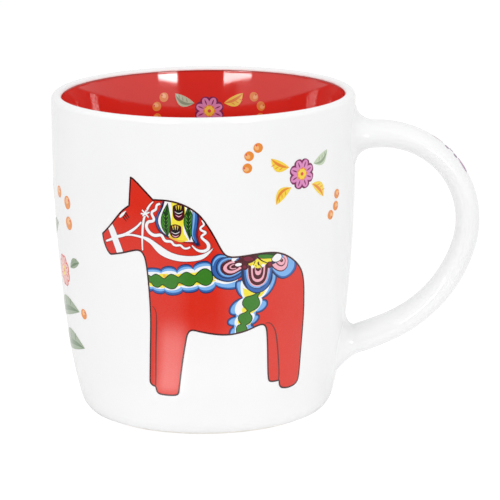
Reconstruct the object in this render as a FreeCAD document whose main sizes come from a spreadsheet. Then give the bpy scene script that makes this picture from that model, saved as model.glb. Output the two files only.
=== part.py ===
"""Porcelain mug with a loop handle and a printed Dala horse.

Frame: millimetres, +Z up, origin on the mug's axis at the plane it stands on, handle along +X, horse on the -Y side.
The wall is one outline, a vertical rim, a belly arc, a haunch arc and a base corner arc, all tangent. Clay, glaze and
ink are that outline moved out or in, so each layer lies on the one below it.
"""
import FreeCAD, Part
import math
import os
import Sketcher
from FreeCAD import Placement, Rotation, Vector

SIZES = [
    ("rim_radius", 42.2, "outer radius of the clay, from the belly up to the rim"),
    ("cup_height", 90.7, "height of the clay crest of the rim"),
    ("wall", 4.6, "thickness of the clay wall, from the belly down"),
    ("lip_wall", 2.5, "thickness to which the wall tapers at the rim"),
    ("belly_drop", 12.7, "how far below the crest the wall starts to draw in"),
    ("belly_arc", 437.0, "radius of the long belly curve"),
    ("haunch_height", 20.0, "height at which the belly turns into the haunch"),
    ("haunch_arc", 120.0, "radius of the haunch curve"),
    ("base_corner", 7.0, "radius of the corner above the foot"),
    ("foot_width", 3.23, "width of the flat that the foot ring stands on"),
    ("foot_recess", 1.6, "height of the hollow under the base"),
    ("floor_height", 5.6, "height of the clay floor inside"),
    ("floor_corner", 12.0, "radius of the corner between the floor and the inner wall"),
    ("glaze", 0.3, "thickness of a glaze coat"),
    ("glaze_line", 1.5, "height at which the outer glaze stops above the dry foot"),
    ("lining_drop", 0.9, "how far the coloured lining stops below the crest"),
    ("slip", 0.3, "thickness of the slip between the handle and the wall"),
    ("ink", 0.1, "thickness of a printed transfer with its clear coat"),
    ("handle_top_drop", 12.0, "how far below the crest the handle's centre line meets the wall"),
    ("handle_reach", 31.7, "how far the handle's centre line stands out from the wall"),
    ("handle_upper_arc", 24.5, "radius of the handle's upper bend"),
    ("handle_upper_turn", 106.0, "angle of the handle's upper bend"),
    ("handle_foot_height", 18.9, "height of the handle's centre line at its lower root"),
    ("handle_foot_rise", 4.042, "how far above the lower root the lower bend ends"),
    ("handle_foot_run", 13.089, "how far out from the wall the lower bend ends"),
    ("bend_ease", 6.9, "how far the lower bend's direction is kept past its end"),
    ("foot_ease", 2.38, "how far out from the wall the lower root runs level"),
    ("handle_thickness", 6.1, "thickness of the clay handle at its middle, in the plane of the loop"),
    ("handle_root_thickness", 7.6, "thickness of the clay handle near its roots"),
    ("handle_width", 11.8, "width of the clay handle at its middle"),
    ("handle_root_width", 13.4, "width of the clay handle near its roots"),
    ("root_flare", 2.7, "how far the handle spreads up and down where it meets the wall"),
    ("root_side_flare", 2.0, "how far the handle spreads sideways where it meets the wall"),
    ("flare_length", 5.0, "length over which a root spreads"),
    ("root_depth", 1.5, "how far the upper end of the handle's blank runs into the wall before its seat is cut"),
    ("foot_depth", 3.0, "how far its lower end runs in, below which the wall leans away"),
    ("handle_print_turn", 46.0, "angle down the upper bend at which the handle's print is centred"),
    ("spray_azimuth", 41.0, "angle from the horse towards the handle at which the spray is centred"),
    ("spray_drop", 16.9, "how far below the crest the flower of the spray lies"),
    ("lining_print_drop", 12.3, "how far below the crest the flower of the lining's print lies"),
    ("flower_unit_length", 1.0, "the length that is 1 in the drawings of the flowers"),
    ("past_wall", 6.0, "how far the prisms that cut out the transfers run past the wall"),
]

# Worked out from the sizes: the tangent points and centres of the wall's arcs.
WORKED = [
    ("belly_height", "Sizes.cup_height - Sizes.belly_drop"),
    ("belly_turn", "asin((Worked.belly_height - Sizes.haunch_height) / Sizes.belly_arc)"),
    ("belly_centre", "Sizes.rim_radius - Sizes.belly_arc"),
    ("haunch_centre", "Worked.belly_centre + (Sizes.belly_arc - Sizes.haunch_arc) * cos(Worked.belly_turn)"),
    ("haunch_centre_height", "Worked.belly_height - (Sizes.belly_arc - Sizes.haunch_arc) * sin(Worked.belly_turn)"),
    ("base_turn", "asin((Worked.haunch_centre_height - Sizes.base_corner) / (Sizes.haunch_arc - Sizes.base_corner))"),
    ("base_centre", "Worked.haunch_centre + (Sizes.haunch_arc - Sizes.base_corner) * cos(Worked.base_turn)"),
    ("foot_inner_radius", "Worked.base_centre - Sizes.foot_width"),
    ("inner_arc", "Sizes.haunch_arc - Sizes.wall - Sizes.floor_corner"),
    ("floor_centre_height", "Sizes.floor_height + Sizes.floor_corner"),
    ("floor_turn", "asin((Worked.haunch_centre_height - Worked.floor_centre_height) / Worked.inner_arc)"),
    ("floor_centre", "Worked.haunch_centre + Worked.inner_arc * cos(Worked.floor_turn)"),
    ("lip_centre", "Sizes.rim_radius - Sizes.lip_wall / 2"),
    ("lip_height", "Sizes.cup_height - Sizes.lip_wall / 2"),
    ("lining_height", "Sizes.cup_height + Sizes.glaze - Sizes.lining_drop"),
    ("inner_skin", "Sizes.wall + Sizes.glaze"),
    ("handle_top_height", "Sizes.cup_height - Sizes.handle_top_drop"),
    ("handle_stand_off", "Sizes.rim_radius + Sizes.handle_reach"),
]

LEFT, RIGHT = 1, -1          # the side of travel on which an arc's centre lies

# The horse, as it lies flat before it is wrapped round the mug: u along the wall, v up. Each row is one smooth
# stroke, and the strokes meet at corners.
HORSE_OUTLINE = [
    [(-19.6, 66.6), (-18.9, 74.5)],
    [(-18.9, 74.5), (-18.3, 74.4), (-12.2, 68.8)],
    [(-12.2, 68.8), (-8.0, 68.7), (-3.5, 67.5), (0.1, 65.2), (2.1, 62.8), (3.8, 60.1), (5.2, 57.5), (6.5, 55.0),
     (7.7, 53.5), (9.4, 52.95), (14.0, 53.15), (18.5, 53.4), (23.5, 52.8), (28.3, 50.1), (31.4, 46.1), (32.5, 40.0),
     (32.8, 34.0), (32.8, 28.0), (32.8, 22.0), (32.9, 17.5), (32.8, 15.4), (32.1, 14.0), (29.4, 13.1), (26.4, 13.4),
     (25.4, 14.2), (25.0, 15.7)],
    [(25.0, 15.7), (22.5, 15.7), (21.5, 16.1), (21.0, 17.4), (20.6, 21.0), (20.3, 25.2), (19.9, 29.6), (19.4, 32.0),
     (18.6, 32.7), (16.9, 32.5), (14.0, 31.5), (9.0, 30.6), (4.0, 30.9), (-0.6, 31.8), (-2.4, 32.0), (-3.3, 31.1),
     (-3.9, 28.9), (-4.8, 24.5), (-5.9, 18.4), (-6.5, 14.9), (-6.8, 13.7), (-7.6, 13.05), (-11.0, 12.85),
     (-13.2, 13.1), (-14.0, 13.7), (-14.35, 15.2)],
    [(-14.35, 15.2), (-15.4, 15.6), (-16.0, 16.3), (-16.05, 17.4), (-15.6, 22.0), (-15.1, 27.5), (-14.5, 36.0),
     (-14.6, 45.0), (-15.2, 51.5), (-15.9, 53.3), (-17.0, 54.0), (-21.0, 53.1), (-25.2, 52.1), (-26.6, 52.1),
     (-28.4, 54.8), (-29.0, 57.7)],
    [(-29.0, 57.7), (-25.6, 60.9), (-22.2, 64.6), (-19.6, 66.6)],
]


# Where the trefoils of berries lie from the flower of a spray, and the way that they lean.
SPRAY_TREFOILS = ((-13.0, 4.6, 150), (11.4, -9.4, 330))
LINING_TREFOILS = ((-12.0, 0.6, 160), (12.0, 0.6, 20))


class Corner:
    """A corner of a profile: its place, and the arc that leads on from it, all as expressions."""

    def __init__(self, x, z, arc=None, centre=LEFT):
        self.x, self.z, self.arc, self.centre = x, z, arc, centre


def add_sheets(doc):
    """Make the sheet of driving sizes, and the sheet of values that follow from them."""
    sizes = doc.addObject("Spreadsheet::Sheet", "Sizes")
    for row, (alias, size, note) in enumerate(SIZES, start=1):
        sizes.set(f"A{row}", alias)
        sizes.set(f"B{row}", str(size))
        sizes.set(f"C{row}", note)
        sizes.setAlias(f"B{row}", alias)
    doc.recompute()
    worked = doc.addObject("Spreadsheet::Sheet", "Worked")
    for row, (alias, formula) in enumerate(WORKED, start=1):
        worked.set(f"A{row}", alias)
        worked.setAlias(f"B{row}", alias)
        worked.set(f"B{row}", "=" + formula.replace("Worked.", ""))
        doc.recompute()
    return sizes


def number(sheet, expression):
    """The plain number that an expression of the sheets comes to."""
    result = sheet.evalExpression(expression)
    return float(getattr(result, "Value", result))


def arc_between(start, end, radius, centre_side):
    """The arc of a radius from start to end, with its centre on the given side of travel."""
    chord = end - start
    across = Vector(-chord.y, chord.x, 0).normalize()
    rise = math.sqrt(max(radius ** 2 - (chord.Length / 2) ** 2, 0.0))
    centre = (start + end) / 2 + across * (rise * centre_side)
    first, last = (start, end) if centre_side == LEFT else (end, start)
    angles = [math.atan2(point.y - centre.y, point.x - centre.x) for point in (first, last)]
    return Part.ArcOfCircle(Part.Circle(centre, Vector(0, 0, 1), radius), *angles)


def bind(sketch, kind, where, expression):
    """Add a driving constraint and bind its value to an expression."""
    index = sketch.addConstraint(Sketcher.Constraint(kind, *where, number(sketch, expression)))
    sketch.setExpression(f"Constraints[{index}]", expression)


def revolve_profile(doc, name, corners):
    """Turn a closed profile of lines and arcs, given by its corners, about Z into a body of its own."""
    body = doc.addObject("PartDesign::Body", name)
    plane = next(o for o in body.Origin.OriginFeatures if o.Role == "XZ_Plane")
    sketch = body.newObject("Sketcher::SketchObject", name + "_profile")
    sketch.AttachmentSupport = [(plane, "")]
    sketch.MapMode = "FlatFace"
    doc.recompute()

    places = [Vector(number(sketch, c.x), number(sketch, c.z), 0) for c in corners]
    ends = []
    for i, corner in enumerate(corners):
        start, end = places[i], places[(i + 1) % len(corners)]
        if corner.arc is None:
            ends.append((sketch.addGeometry(Part.LineSegment(start, end), False), 1, 2))
            continue
        arc = arc_between(start, end, number(sketch, corner.arc), corner.centre)
        order = (1, 2) if corner.centre == LEFT else (2, 1)
        ends.append((sketch.addGeometry(arc, False), *order))

    for i, corner in enumerate(corners):
        edge, start, _ = ends[i]
        before, _, end = ends[i - 1]
        sketch.addConstraint(Sketcher.Constraint("Coincident", before, end, edge, start))
        for kind, expression, axis in (("DistanceX", corner.x, -2), ("DistanceY", corner.z, -1)):
            if expression == "0":
                sketch.addConstraint(Sketcher.Constraint("PointOnObject", edge, start, axis))
            else:
                bind(sketch, kind, (-1, 1, edge, start), expression)
        if corner.arc is not None:
            bind(sketch, "Radius", (edge,), corner.arc)

    turn = body.newObject("PartDesign::Revolution", name + "_turned")
    turn.Profile = sketch
    turn.ReferenceAxis = (sketch, ["V_Axis"])
    turn.Angle = 360.0
    body.Tip = turn
    doc.recompute()
    return body


def wall_down(grow):
    """The wall's corners from the belly's top down to the haunch's foot, moved out by an expression."""
    belly, haunch = f"(Sizes.belly_arc + {grow})", f"(Sizes.haunch_arc + {grow})"
    return [
        Corner(f"Sizes.rim_radius + {grow}", "Worked.belly_height", belly, RIGHT),
        Corner(f"Worked.belly_centre + {belly} * cos(Worked.belly_turn)",
               f"Worked.belly_height - {belly} * sin(Worked.belly_turn)", haunch, RIGHT),
        Corner(f"Worked.haunch_centre + {haunch} * cos(Worked.base_turn)",
               f"Worked.haunch_centre_height - {haunch} * sin(Worked.base_turn)",
               f"Sizes.base_corner + {grow}", RIGHT),
    ]


def cavity_down(skin):
    """The cavity's corners from the belly's top down to the middle of the floor, with a skin inside the wall."""
    belly, haunch = f"(Sizes.belly_arc - {skin})", f"(Sizes.haunch_arc - {skin})"
    floor = f"(Sizes.floor_corner + Sizes.wall - {skin})"
    return [
        Corner(f"Sizes.rim_radius - {skin}", "Worked.belly_height", belly, RIGHT),
        Corner(f"Worked.belly_centre + {belly} * cos(Worked.belly_turn)",
               f"Worked.belly_height - {belly} * sin(Worked.belly_turn)", haunch, RIGHT),
        Corner(f"Worked.haunch_centre + {haunch} * cos(Worked.floor_turn)",
               f"Worked.haunch_centre_height - {haunch} * sin(Worked.floor_turn)", floor, RIGHT),
        Corner("Worked.floor_centre", f"Worked.floor_centre_height - {floor}"),
        Corner("0", f"Worked.floor_centre_height - {floor}"),
    ]


def upward(corners, first):
    """The same corners in the other order, from a first corner: each arc goes to the corner it now starts from."""
    names = [first] + corners[::-1]
    arcs = [corner.arc for corner in corners][::-1] + [None]
    return [Corner(c.x, c.z, arc, LEFT) for c, arc in zip(names, arcs)]


def make_clay_body(doc):
    """The clay cup: wall, rounded rim, floor, and a foot ring round a shallow hollow."""
    half = "Sizes.lip_wall / 2"
    foot = Corner("Worked.base_centre", "0")
    outer = upward(wall_down("0"), foot)
    return revolve_profile(doc, "mug_body", [
        Corner("0", "Sizes.foot_recess"),
        Corner("Worked.foot_inner_radius", "Sizes.foot_recess"),
        Corner("Worked.foot_inner_radius", "0"),
        *outer,
        Corner("Sizes.rim_radius", "Worked.lip_height", half, LEFT),
        Corner("Worked.lip_centre", "Sizes.cup_height", half, LEFT),
        Corner("Sizes.rim_radius - Sizes.lip_wall", "Worked.lip_height"),
        *cavity_down("Sizes.wall"),
    ])


def rounded_lip_edge(radius):
    """Where the lip's inner round, of a radius, is at the height at which the lining stops."""
    drop = "(Worked.lining_height - Worked.lip_height)"
    return f"Worked.lip_centre - sqrt(({radius})^2 - {drop}^2)"


def make_body_glaze(doc):
    """The white glaze outside: from above the dry foot, up the wall and over the rim to the lining's edge."""
    half, thick = "Sizes.lip_wall / 2", "Sizes.lip_wall / 2 + Sizes.glaze"
    rise = "(Sizes.base_corner - Sizes.glaze_line)"
    clay_foot = Corner(f"Worked.base_centre + sqrt(Sizes.base_corner^2 - {rise}^2)", "Sizes.glaze_line")
    glaze_foot = Corner(f"Worked.base_centre + sqrt((Sizes.base_corner + Sizes.glaze)^2 - {rise}^2)",
                        "Sizes.glaze_line")
    return revolve_profile(doc, "outer_glaze_coat", [
        *upward(wall_down("Sizes.glaze"), glaze_foot),
        Corner("Sizes.rim_radius + Sizes.glaze", "Worked.lip_height", thick, LEFT),
        Corner("Worked.lip_centre", "Sizes.cup_height + Sizes.glaze", thick, LEFT),
        Corner(rounded_lip_edge(thick), "Worked.lining_height"),
        Corner(rounded_lip_edge(half), "Worked.lining_height", half, RIGHT),
        Corner("Worked.lip_centre", "Sizes.cup_height", half, RIGHT),
        Corner("Sizes.rim_radius", "Worked.lip_height"),
        *wall_down("0"),
        clay_foot,
    ])


def make_lining(doc):
    """The coloured glaze inside: from its edge below the rim down over the floor."""
    half, thick = "Sizes.lip_wall / 2", "Sizes.lip_wall / 2 + Sizes.glaze"
    clay_side = cavity_down("Sizes.wall")
    return revolve_profile(doc, "lining_glaze", [
        Corner(rounded_lip_edge(half), "Worked.lining_height", half, LEFT),
        Corner("Sizes.rim_radius - Sizes.lip_wall", "Worked.lip_height"),
        *clay_side,
        *upward(cavity_down("Worked.inner_skin")[:-1], cavity_down("Worked.inner_skin")[-1]),
        Corner("Sizes.rim_radius - Sizes.lip_wall - Sizes.glaze", "Worked.lip_height", thick, RIGHT),
        Corner(rounded_lip_edge(thick), "Worked.lining_height"),
    ])


def make_blank(doc, name, grow):
    """A solid blank of the cup's outside, moved out by an expression."""
    return revolve_profile(doc, name, [
        Corner("0", f"0 - {grow}"),
        *upward(wall_down(grow), Corner("Worked.base_centre", f"0 - {grow}")),
        Corner(f"Sizes.rim_radius + {grow}", "Sizes.cup_height"),
        Corner("0", "Sizes.cup_height"),
    ])


def make_core(doc, name, skin):
    """A solid core of the cup's cavity, with a skin left on the wall."""
    return revolve_profile(doc, name, [
        Corner("0", "Worked.lip_height"),
        Corner(f"Sizes.rim_radius - Sizes.lip_wall + Sizes.wall - {skin}", "Worked.lip_height"),
        *cavity_down(skin),
    ])


def cut(doc, name, base, tool):
    """What is left of base when tool is taken away."""
    piece = doc.addObject("Part::Cut", name)
    piece.Base, piece.Tool = base, tool
    return piece


def common(doc, name, base, tool):
    """What base and tool share."""
    piece = doc.addObject("Part::Common", name)
    piece.Base, piece.Tool = base, tool
    return piece


def handle_stations(sheet):
    """The handle's centre line: (x, z, tilt, distance from the nearer wall, share of the length) at each station.

    It leaves the wall level, turns down through the upper bend, in through the lower bend, and eases back to level
    along a cubic Bezier curve that ends on the wall. The lower bend is the one arc that is tangent to the upper
    bend and passes through its own end. Stations inside the wall give the roots something to seat in.
    """
    get = {alias: number(sheet, f"Sizes.{alias}") for alias, _, _ in SIZES}
    wall_top = get["rim_radius"]
    top_height, stand_off = number(sheet, "Worked.handle_top_height"), number(sheet, "Worked.handle_stand_off")
    foot_height = get["handle_foot_height"]
    upper = get["handle_upper_arc"]
    upper_centre = Vector(stand_off - upper, 0, top_height - upper)
    wall_foot = number(sheet, "Worked.haunch_centre + sqrt(Sizes.haunch_arc^2"
                              " - (Sizes.handle_foot_height - Worked.haunch_centre_height)^2)")
    foot = Vector(wall_foot, 0, foot_height)
    bend_end = foot + Vector(get["handle_foot_run"], 0, get["handle_foot_rise"])
    join = math.radians(90 - get["handle_upper_turn"])
    outward = Vector(math.cos(join), 0, math.sin(join))
    chord = bend_end - (upper_centre + outward * upper)
    lower = -chord.dot(chord) / (2 * chord.dot(outward))
    lower_centre = upper_centre + outward * (upper - lower)
    last = math.atan2(bend_end.z - lower_centre.z, bend_end.x - lower_centre.x)
    bend_pull = bend_end + Vector(math.sin(last), 0, -math.cos(last)) * get["bend_ease"]
    foot_pull = foot + Vector(get["foot_ease"], 0, 0)

    lead, root, foot_depth = get["handle_reach"] - upper, get["root_depth"], get["foot_depth"]
    points = [(Vector(wall_top + d, 0, top_height), 0.0) for d in (-root, lead * 0.17, lead * 0.7)]
    for share in (0.0, 0.25, 0.5, 0.75):
        turn = math.radians(get["handle_upper_turn"]) * share
        points.append((upper_centre + Vector(math.sin(turn), 0, math.cos(turn)) * upper, math.degrees(turn)))
    for share in (0.0, 0.33, 0.67, 1.0):
        angle = join + (last - join) * share
        points.append((lower_centre + Vector(math.cos(angle), 0, math.sin(angle)) * lower, 90 - math.degrees(angle)))
    for t in (0.55, 0.9):
        back = 1 - t
        place = (bend_end * back ** 3 + bend_pull * (3 * t * back ** 2)
                 + foot_pull * (3 * t ** 2 * back) + foot * t ** 3)
        along = ((bend_pull - bend_end) * back ** 2 + (foot_pull - bend_pull) * (2 * t * back)
                 + (foot - foot_pull) * t ** 2)
        points.append((place, math.degrees(math.atan2(-along.z, along.x)) % 360))
    points.append((foot - Vector(foot_depth, 0, 0), 180.0))

    lengths = [0.0]
    for (a, _), (b, _) in zip(points, points[1:]):
        lengths.append(lengths[-1] + (b - a).Length)
    whole = lengths[-1]
    return [(place, tilt, min(run - root, whole - foot_depth - run), run / whole)
            for (place, tilt), run in zip(points, lengths)]


def make_handle_blank(doc, sheet, name, grow):
    """A loft through an ellipse at each station of the handle, all grown by an expression."""
    sections = []
    for i, (place, tilt, off_wall, share) in enumerate(handle_stations(sheet)):
        from_middle = 2 * share - 1
        swell = abs(from_middle) ** (3.0 if from_middle < 0 else 1.5)
        spread = max(1 - off_wall / number(sheet, "Sizes.flare_length"), 0) ** 2
        section = doc.addObject("Part::Ellipse", f"{name}_section_{i}")
        for radius, middle, end, flare in (
                ("MajorRadius", "handle_width", "handle_root_width", "root_side_flare"),
                ("MinorRadius", "handle_thickness", "handle_root_thickness", "root_flare")):
            half = f"(Sizes.{middle} + (Sizes.{end} - Sizes.{middle}) * {swell:.4f}) / 2"
            section.setExpression(radius, f"{half} + Sizes.{flare} * {spread:.4f} + {grow}")
        level = Rotation(Vector(0, 1, 0), Vector(0, 0, 1), Vector(1, 0, 0), "XYZ")
        section.Placement = Placement(place, Rotation(Vector(0, 1, 0), tilt) * level)
        sections.append(section)
    loft = doc.addObject("Part::Loft", name)
    loft.Sections, loft.Solid, loft.Ruled = sections, True, False
    doc.recompute()
    return loft


class Wrap:
    """Lays flat artwork on an upright plane so that it curves with a round wall: u round the wall and v up."""

    def __init__(self, radius, azimuth=0.0, height=0.0, unit=1.0, wall=None):
        self.radius, self.height, self.unit = radius, height, unit
        self.wall = wall or (lambda height: radius)
        self.turn = Rotation(Vector(0, 0, 1), azimuth)
        self.outward = self.turn.multVec(Vector(0, -1, 0))

    def place(self, u, v):
        """The point for u and v, in the drawing's unit from a height on the wall.

        Flat u turns round the axis by u over the rim's radius, so artwork narrows with the wall below the rim.
        """
        height = self.height + v * self.unit
        along = self.wall(height) * math.sin(u * self.unit / self.radius)
        return self.turn.multVec(Vector(along, 0, height))


def wall_reach(sheet):
    """How far from the axis the glazed outside is, as a function of height above the base corner."""
    glaze = number(sheet, "Sizes.glaze")
    rim, belly_height = number(sheet, "Sizes.rim_radius"), number(sheet, "Worked.belly_height")
    belly, belly_centre = number(sheet, "Sizes.belly_arc") + glaze, number(sheet, "Worked.belly_centre")
    haunch, haunch_centre = number(sheet, "Sizes.haunch_arc") + glaze, number(sheet, "Worked.haunch_centre")
    haunch_height = number(sheet, "Sizes.haunch_height")
    haunch_level = number(sheet, "Worked.haunch_centre_height")

    def reach(height):
        """The distance at one height: the rim, the belly's arc or the haunch's arc."""
        if height >= belly_height:
            return rim + glaze
        if height >= haunch_height:
            return belly_centre + math.sqrt(belly ** 2 - (belly_height - height) ** 2)
        return haunch_centre + math.sqrt(haunch ** 2 - (haunch_level - height) ** 2)

    return reach


class Flat:
    """Lays flat artwork on a tangent plane at a place: u along it and v across it."""

    def __init__(self, origin, along, across, unit):
        self.origin, self.along, self.across = origin, along * unit, across * unit
        self.outward = across.cross(along)

    def place(self, u, v):
        """The point for u and v, in the drawing's unit."""
        return self.origin + self.along * u + self.across * v


def stroke_outline(lay, strokes):
    """A closed wire of smooth strokes that meet at corners."""
    edges = []
    for stroke in strokes:
        points = [lay.place(u, v) for u, v in stroke]
        curve = Part.BSplineCurve()
        curve.interpolate(points)
        edges.append(curve.toShape())
    return Part.Wire(edges)


def three_point_outline(lay, points):
    """A closed wire of arcs: points go corner, middle, corner, middle and so on."""
    placed = [lay.place(u, v) for u, v in points]
    placed.append(placed[0])
    return Part.Wire([Part.Arc(*placed[i:i + 3]).toShape() for i in range(0, len(points), 2)])


def turned(u, v, along, across, angle):
    """The point at (along, across) in a frame at u and v that is turned by an angle in degrees."""
    cosine, sine = math.cos(math.radians(angle)), math.sin(math.radians(angle))
    return u + along * cosine - across * sine, v + along * sine + across * cosine


def leaf(lay, u, v, length, width, angle, bow=0.0):
    """A pointed leaf from its base at u and v, with its middle line bowed sideways."""
    half = length / 2
    return three_point_outline(lay, [
        (u, v), turned(u, v, half, bow + width / 2, angle),
        turned(u, v, length, 0, angle), turned(u, v, half, bow - width / 2, angle)])


def berry(lay, u, v, radius):
    """A round berry."""
    return three_point_outline(lay, [turned(u, v, radius, 0, angle) for angle in (0, 90, 180, 270)])


def rosette(lay, u, v, radius, petals):
    """A round flower with a scalloped edge of petals."""
    step = 360 / petals
    points = []
    for i in range(petals):
        points += [turned(u, v, radius * 0.86, 0, i * step), turned(u, v, radius, 0, (i + 0.5) * step)]
    return three_point_outline(lay, points)


def spray_outlines(lay, trefoils):
    """A folk-painted spray: a round flower in the middle, four pointed leaves and trefoils of berries.

    Each trefoil is its place from the flower and the way that it leans, in degrees.
    """
    outlines = [rosette(lay, 0, 0, 4.3, 8)]
    for angle, bow in ((152, 1.0), (222, -1.0), (318, 1.0), (28, -1.0)):
        base = turned(0, 0, 4.9, 0, angle)
        outlines.append(leaf(lay, *base, 6.4, 3.0, angle, bow))
    for centre_u, centre_v, lean in trefoils:
        for side in (-1, 0, 1):
            place = turned(centre_u, centre_v, 2.6 if side else 3.8, 3.1 * side, lean)
            outlines.append(berry(lay, *place, 1.35))
    return outlines


def garland_outlines(lay):
    """A folk-painted bouquet, the same left and right: a tulip over pairs of flowers, berries and leaves."""
    outlines = [leaf(lay, 0, 58.5, 11.0, 6.0, 90), leaf(lay, 0, 15.0, 41.5, 1.2, 90)]
    for side in (-1, 1):
        def swing(angle):
            return angle if side > 0 else 180 - angle
        outlines += [
            leaf(lay, side * 1.6, 19.0, 22.5, 6.0, swing(8), 2.2 * side),
            leaf(lay, side * 1.6, 28.0, 22.5, 5.6, swing(12), 2.2 * side),
            rosette(lay, side * 14.6, 43.0, 4.6, 8),
            leaf(lay, side * 20.6, 45.0, 6.2, 2.8, swing(22), 0.6 * side),
            leaf(lay, side * 2.6, 51.0, 11.0, 3.6, swing(28), 1.0 * side),
            berry(lay, side * 21.6, 63.6, 1.9),
            berry(lay, side * 21.9, 57.8, 1.9),
            berry(lay, side * 15.6, 65.6, 1.7),
            berry(lay, side * 26.2, 32.6, 1.5),
        ]
    return outlines


def handle_sprig_outlines(lay):
    """A short sprig along the handle: leaves and berries in turn."""
    outlines = [leaf(lay, -7.6, 0.0, 4.6, 1.9, 20), leaf(lay, 2.6, -0.2, 4.6, 1.9, -20)]
    outlines += [berry(lay, u, v, 0.75) for u, v in ((-2.0, -1.0), (-0.2, 0.9), (1.4, -1.2))]
    return outlines


def make_transfer(doc, name, lay, outlines, shell, depth):
    """A transfer: the patches of an ink shell under the outlines, which are pushed outwards through it by depth."""
    transfer = doc.addObject("Part::Feature", name)
    prisms = [Part.Face(outline).extrude(lay.outward * depth) for outline in outlines]
    transfer.Shape = Part.Compound([solid for prism in prisms for solid in prism.common(shell.Shape).Solids])
    return transfer


def mirrored(doc, name, source):
    """The same piece on the other side of the handle's plane."""
    piece = doc.addObject("Part::Mirroring", name)
    piece.Source, piece.Normal, piece.Base = source, Vector(0, 1, 0), Vector(0, 0, 0)
    return piece


def make_foot_glaze(doc):
    """The clear glaze in the hollow under the base."""
    disc = doc.addObject("Part::Cylinder", "foot_glaze")
    disc.setExpression("Radius", "Worked.foot_inner_radius")
    disc.setExpression("Height", "Sizes.glaze")
    disc.setExpression("Placement.Base.z", "Sizes.foot_recess - Sizes.glaze")
    return disc


def build(doc):
    """Build every sub-part and return them in the order in which the mug is made."""
    sheet = add_sheets(doc)
    clay = make_clay_body(doc)

    seat_blank = make_blank(doc, "seat_blank", "Sizes.slip")
    clay_blank = make_blank(doc, "clay_blank", "0")
    glaze_blank = make_blank(doc, "glaze_blank", "Sizes.glaze")
    ink_blank = make_blank(doc, "ink_blank", "(Sizes.glaze + Sizes.ink)")
    lining_core = make_core(doc, "lining_core", "Worked.inner_skin")
    lining_ink_core = make_core(doc, "lining_ink_core", "(Worked.inner_skin + Sizes.ink)")

    loop = make_handle_blank(doc, sheet, "loop_blank", "0")
    glazed_loop = make_handle_blank(doc, sheet, "glazed_loop_blank", "Sizes.glaze")
    inked_loop = make_handle_blank(doc, sheet, "inked_loop_blank", "Sizes.glaze + Sizes.ink")

    handle = cut(doc, "handle", loop, seat_blank)
    slip_coat = cut(doc, "slip_coat", seat_blank, clay_blank)
    slip_pads = common(doc, "slip_pads", loop, slip_coat)
    halfway = doc.addObject("Part::Box", "upper_half")
    for side, size in (("Length", "2 * Worked.handle_stand_off"), ("Width", "2 * Worked.handle_stand_off"),
                       ("Height", "Sizes.cup_height")):
        halfway.setExpression(side, size)
    halfway.setExpression("Placement.Base.z", "(Worked.handle_top_height + Sizes.handle_foot_height) / 2")
    halfway.setExpression("Placement.Base.y", "-Worked.handle_stand_off")
    upper_slip = common(doc, "upper_slip_joint", slip_pads, halfway)
    lower_slip = cut(doc, "lower_slip_joint", slip_pads, halfway)

    outer_coat = make_body_glaze(doc)
    outer_coat.Placement = Placement(Vector(), Rotation(Vector(0, 0, 1), 180))  # its seam lies opposite the handle
    body_glaze = cut(doc, "body_glaze", outer_coat, loop)
    loop_coat = cut(doc, "loop_coat", glazed_loop, loop)
    handle_glaze = cut(doc, "handle_glaze", loop_coat, glaze_blank)
    lining = make_lining(doc)
    foot_glaze = make_foot_glaze(doc)

    ink_shell = cut(doc, "ink_shell", ink_blank, glaze_blank)
    lining_ink_shell = cut(doc, "lining_ink_shell", lining_core, lining_ink_core)
    loop_ink_shell = cut(doc, "loop_ink_shell", inked_loop, glazed_loop)
    doc.recompute()

    outside = number(sheet, "Sizes.rim_radius + Sizes.glaze")
    past = outside + number(sheet, "Sizes.past_wall")
    unit = number(sheet, "Sizes.flower_unit_length")
    inside = number(sheet, "Sizes.rim_radius - Worked.inner_skin")
    reach = wall_reach(sheet)
    front = Wrap(outside, wall=reach)
    horse = make_transfer(doc, "horse_transfer_front", front, [stroke_outline(front, HORSE_OUTLINE)], ink_shell, past)
    right = Wrap(outside, number(sheet, "Sizes.spray_azimuth"),
                 number(sheet, "Sizes.cup_height - Sizes.spray_drop"), unit, reach)
    spray = make_transfer(doc, "spray_transfer_front", right, spray_outlines(right, SPRAY_TREFOILS), ink_shell, past)
    left = Wrap(outside, -90.0, 0.0, unit, reach)
    garland = make_transfer(doc, "garland_transfer", left, garland_outlines(left), ink_shell, past)
    far = Wrap(inside, 180.0, number(sheet, "Sizes.cup_height - Sizes.lining_print_drop"), unit)
    lining_print = make_transfer(doc, "lining_transfer", far, spray_outlines(far, LINING_TREFOILS),
                                 lining_ink_shell, past)

    turn = number(sheet, "Sizes.handle_print_turn")
    bend = number(sheet, "Sizes.handle_upper_arc")
    outward = Vector(math.sin(math.radians(turn)), 0, math.cos(math.radians(turn)))
    bend_centre = Vector(number(sheet, "Worked.handle_stand_off") - bend, 0,
                         number(sheet, "Worked.handle_top_height") - bend)
    top = Flat(bend_centre + outward * bend, outward.cross(Vector(0, -1, 0)), Vector(0, -1, 0), unit)
    sprig = make_transfer(doc, "handle_transfer", top, handle_sprig_outlines(top), loop_ink_shell,
                          number(sheet, "Sizes.handle_thickness"))

    horse_back = mirrored(doc, "horse_transfer_back", horse)
    spray_back = mirrored(doc, "spray_transfer_back", spray)
    doc.recompute()
    return [clay, handle, upper_slip, lower_slip, body_glaze, handle_glaze, lining, foot_glaze, horse, horse_back,
            spray, spray_back, garland, lining_print, sprig]


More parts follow.
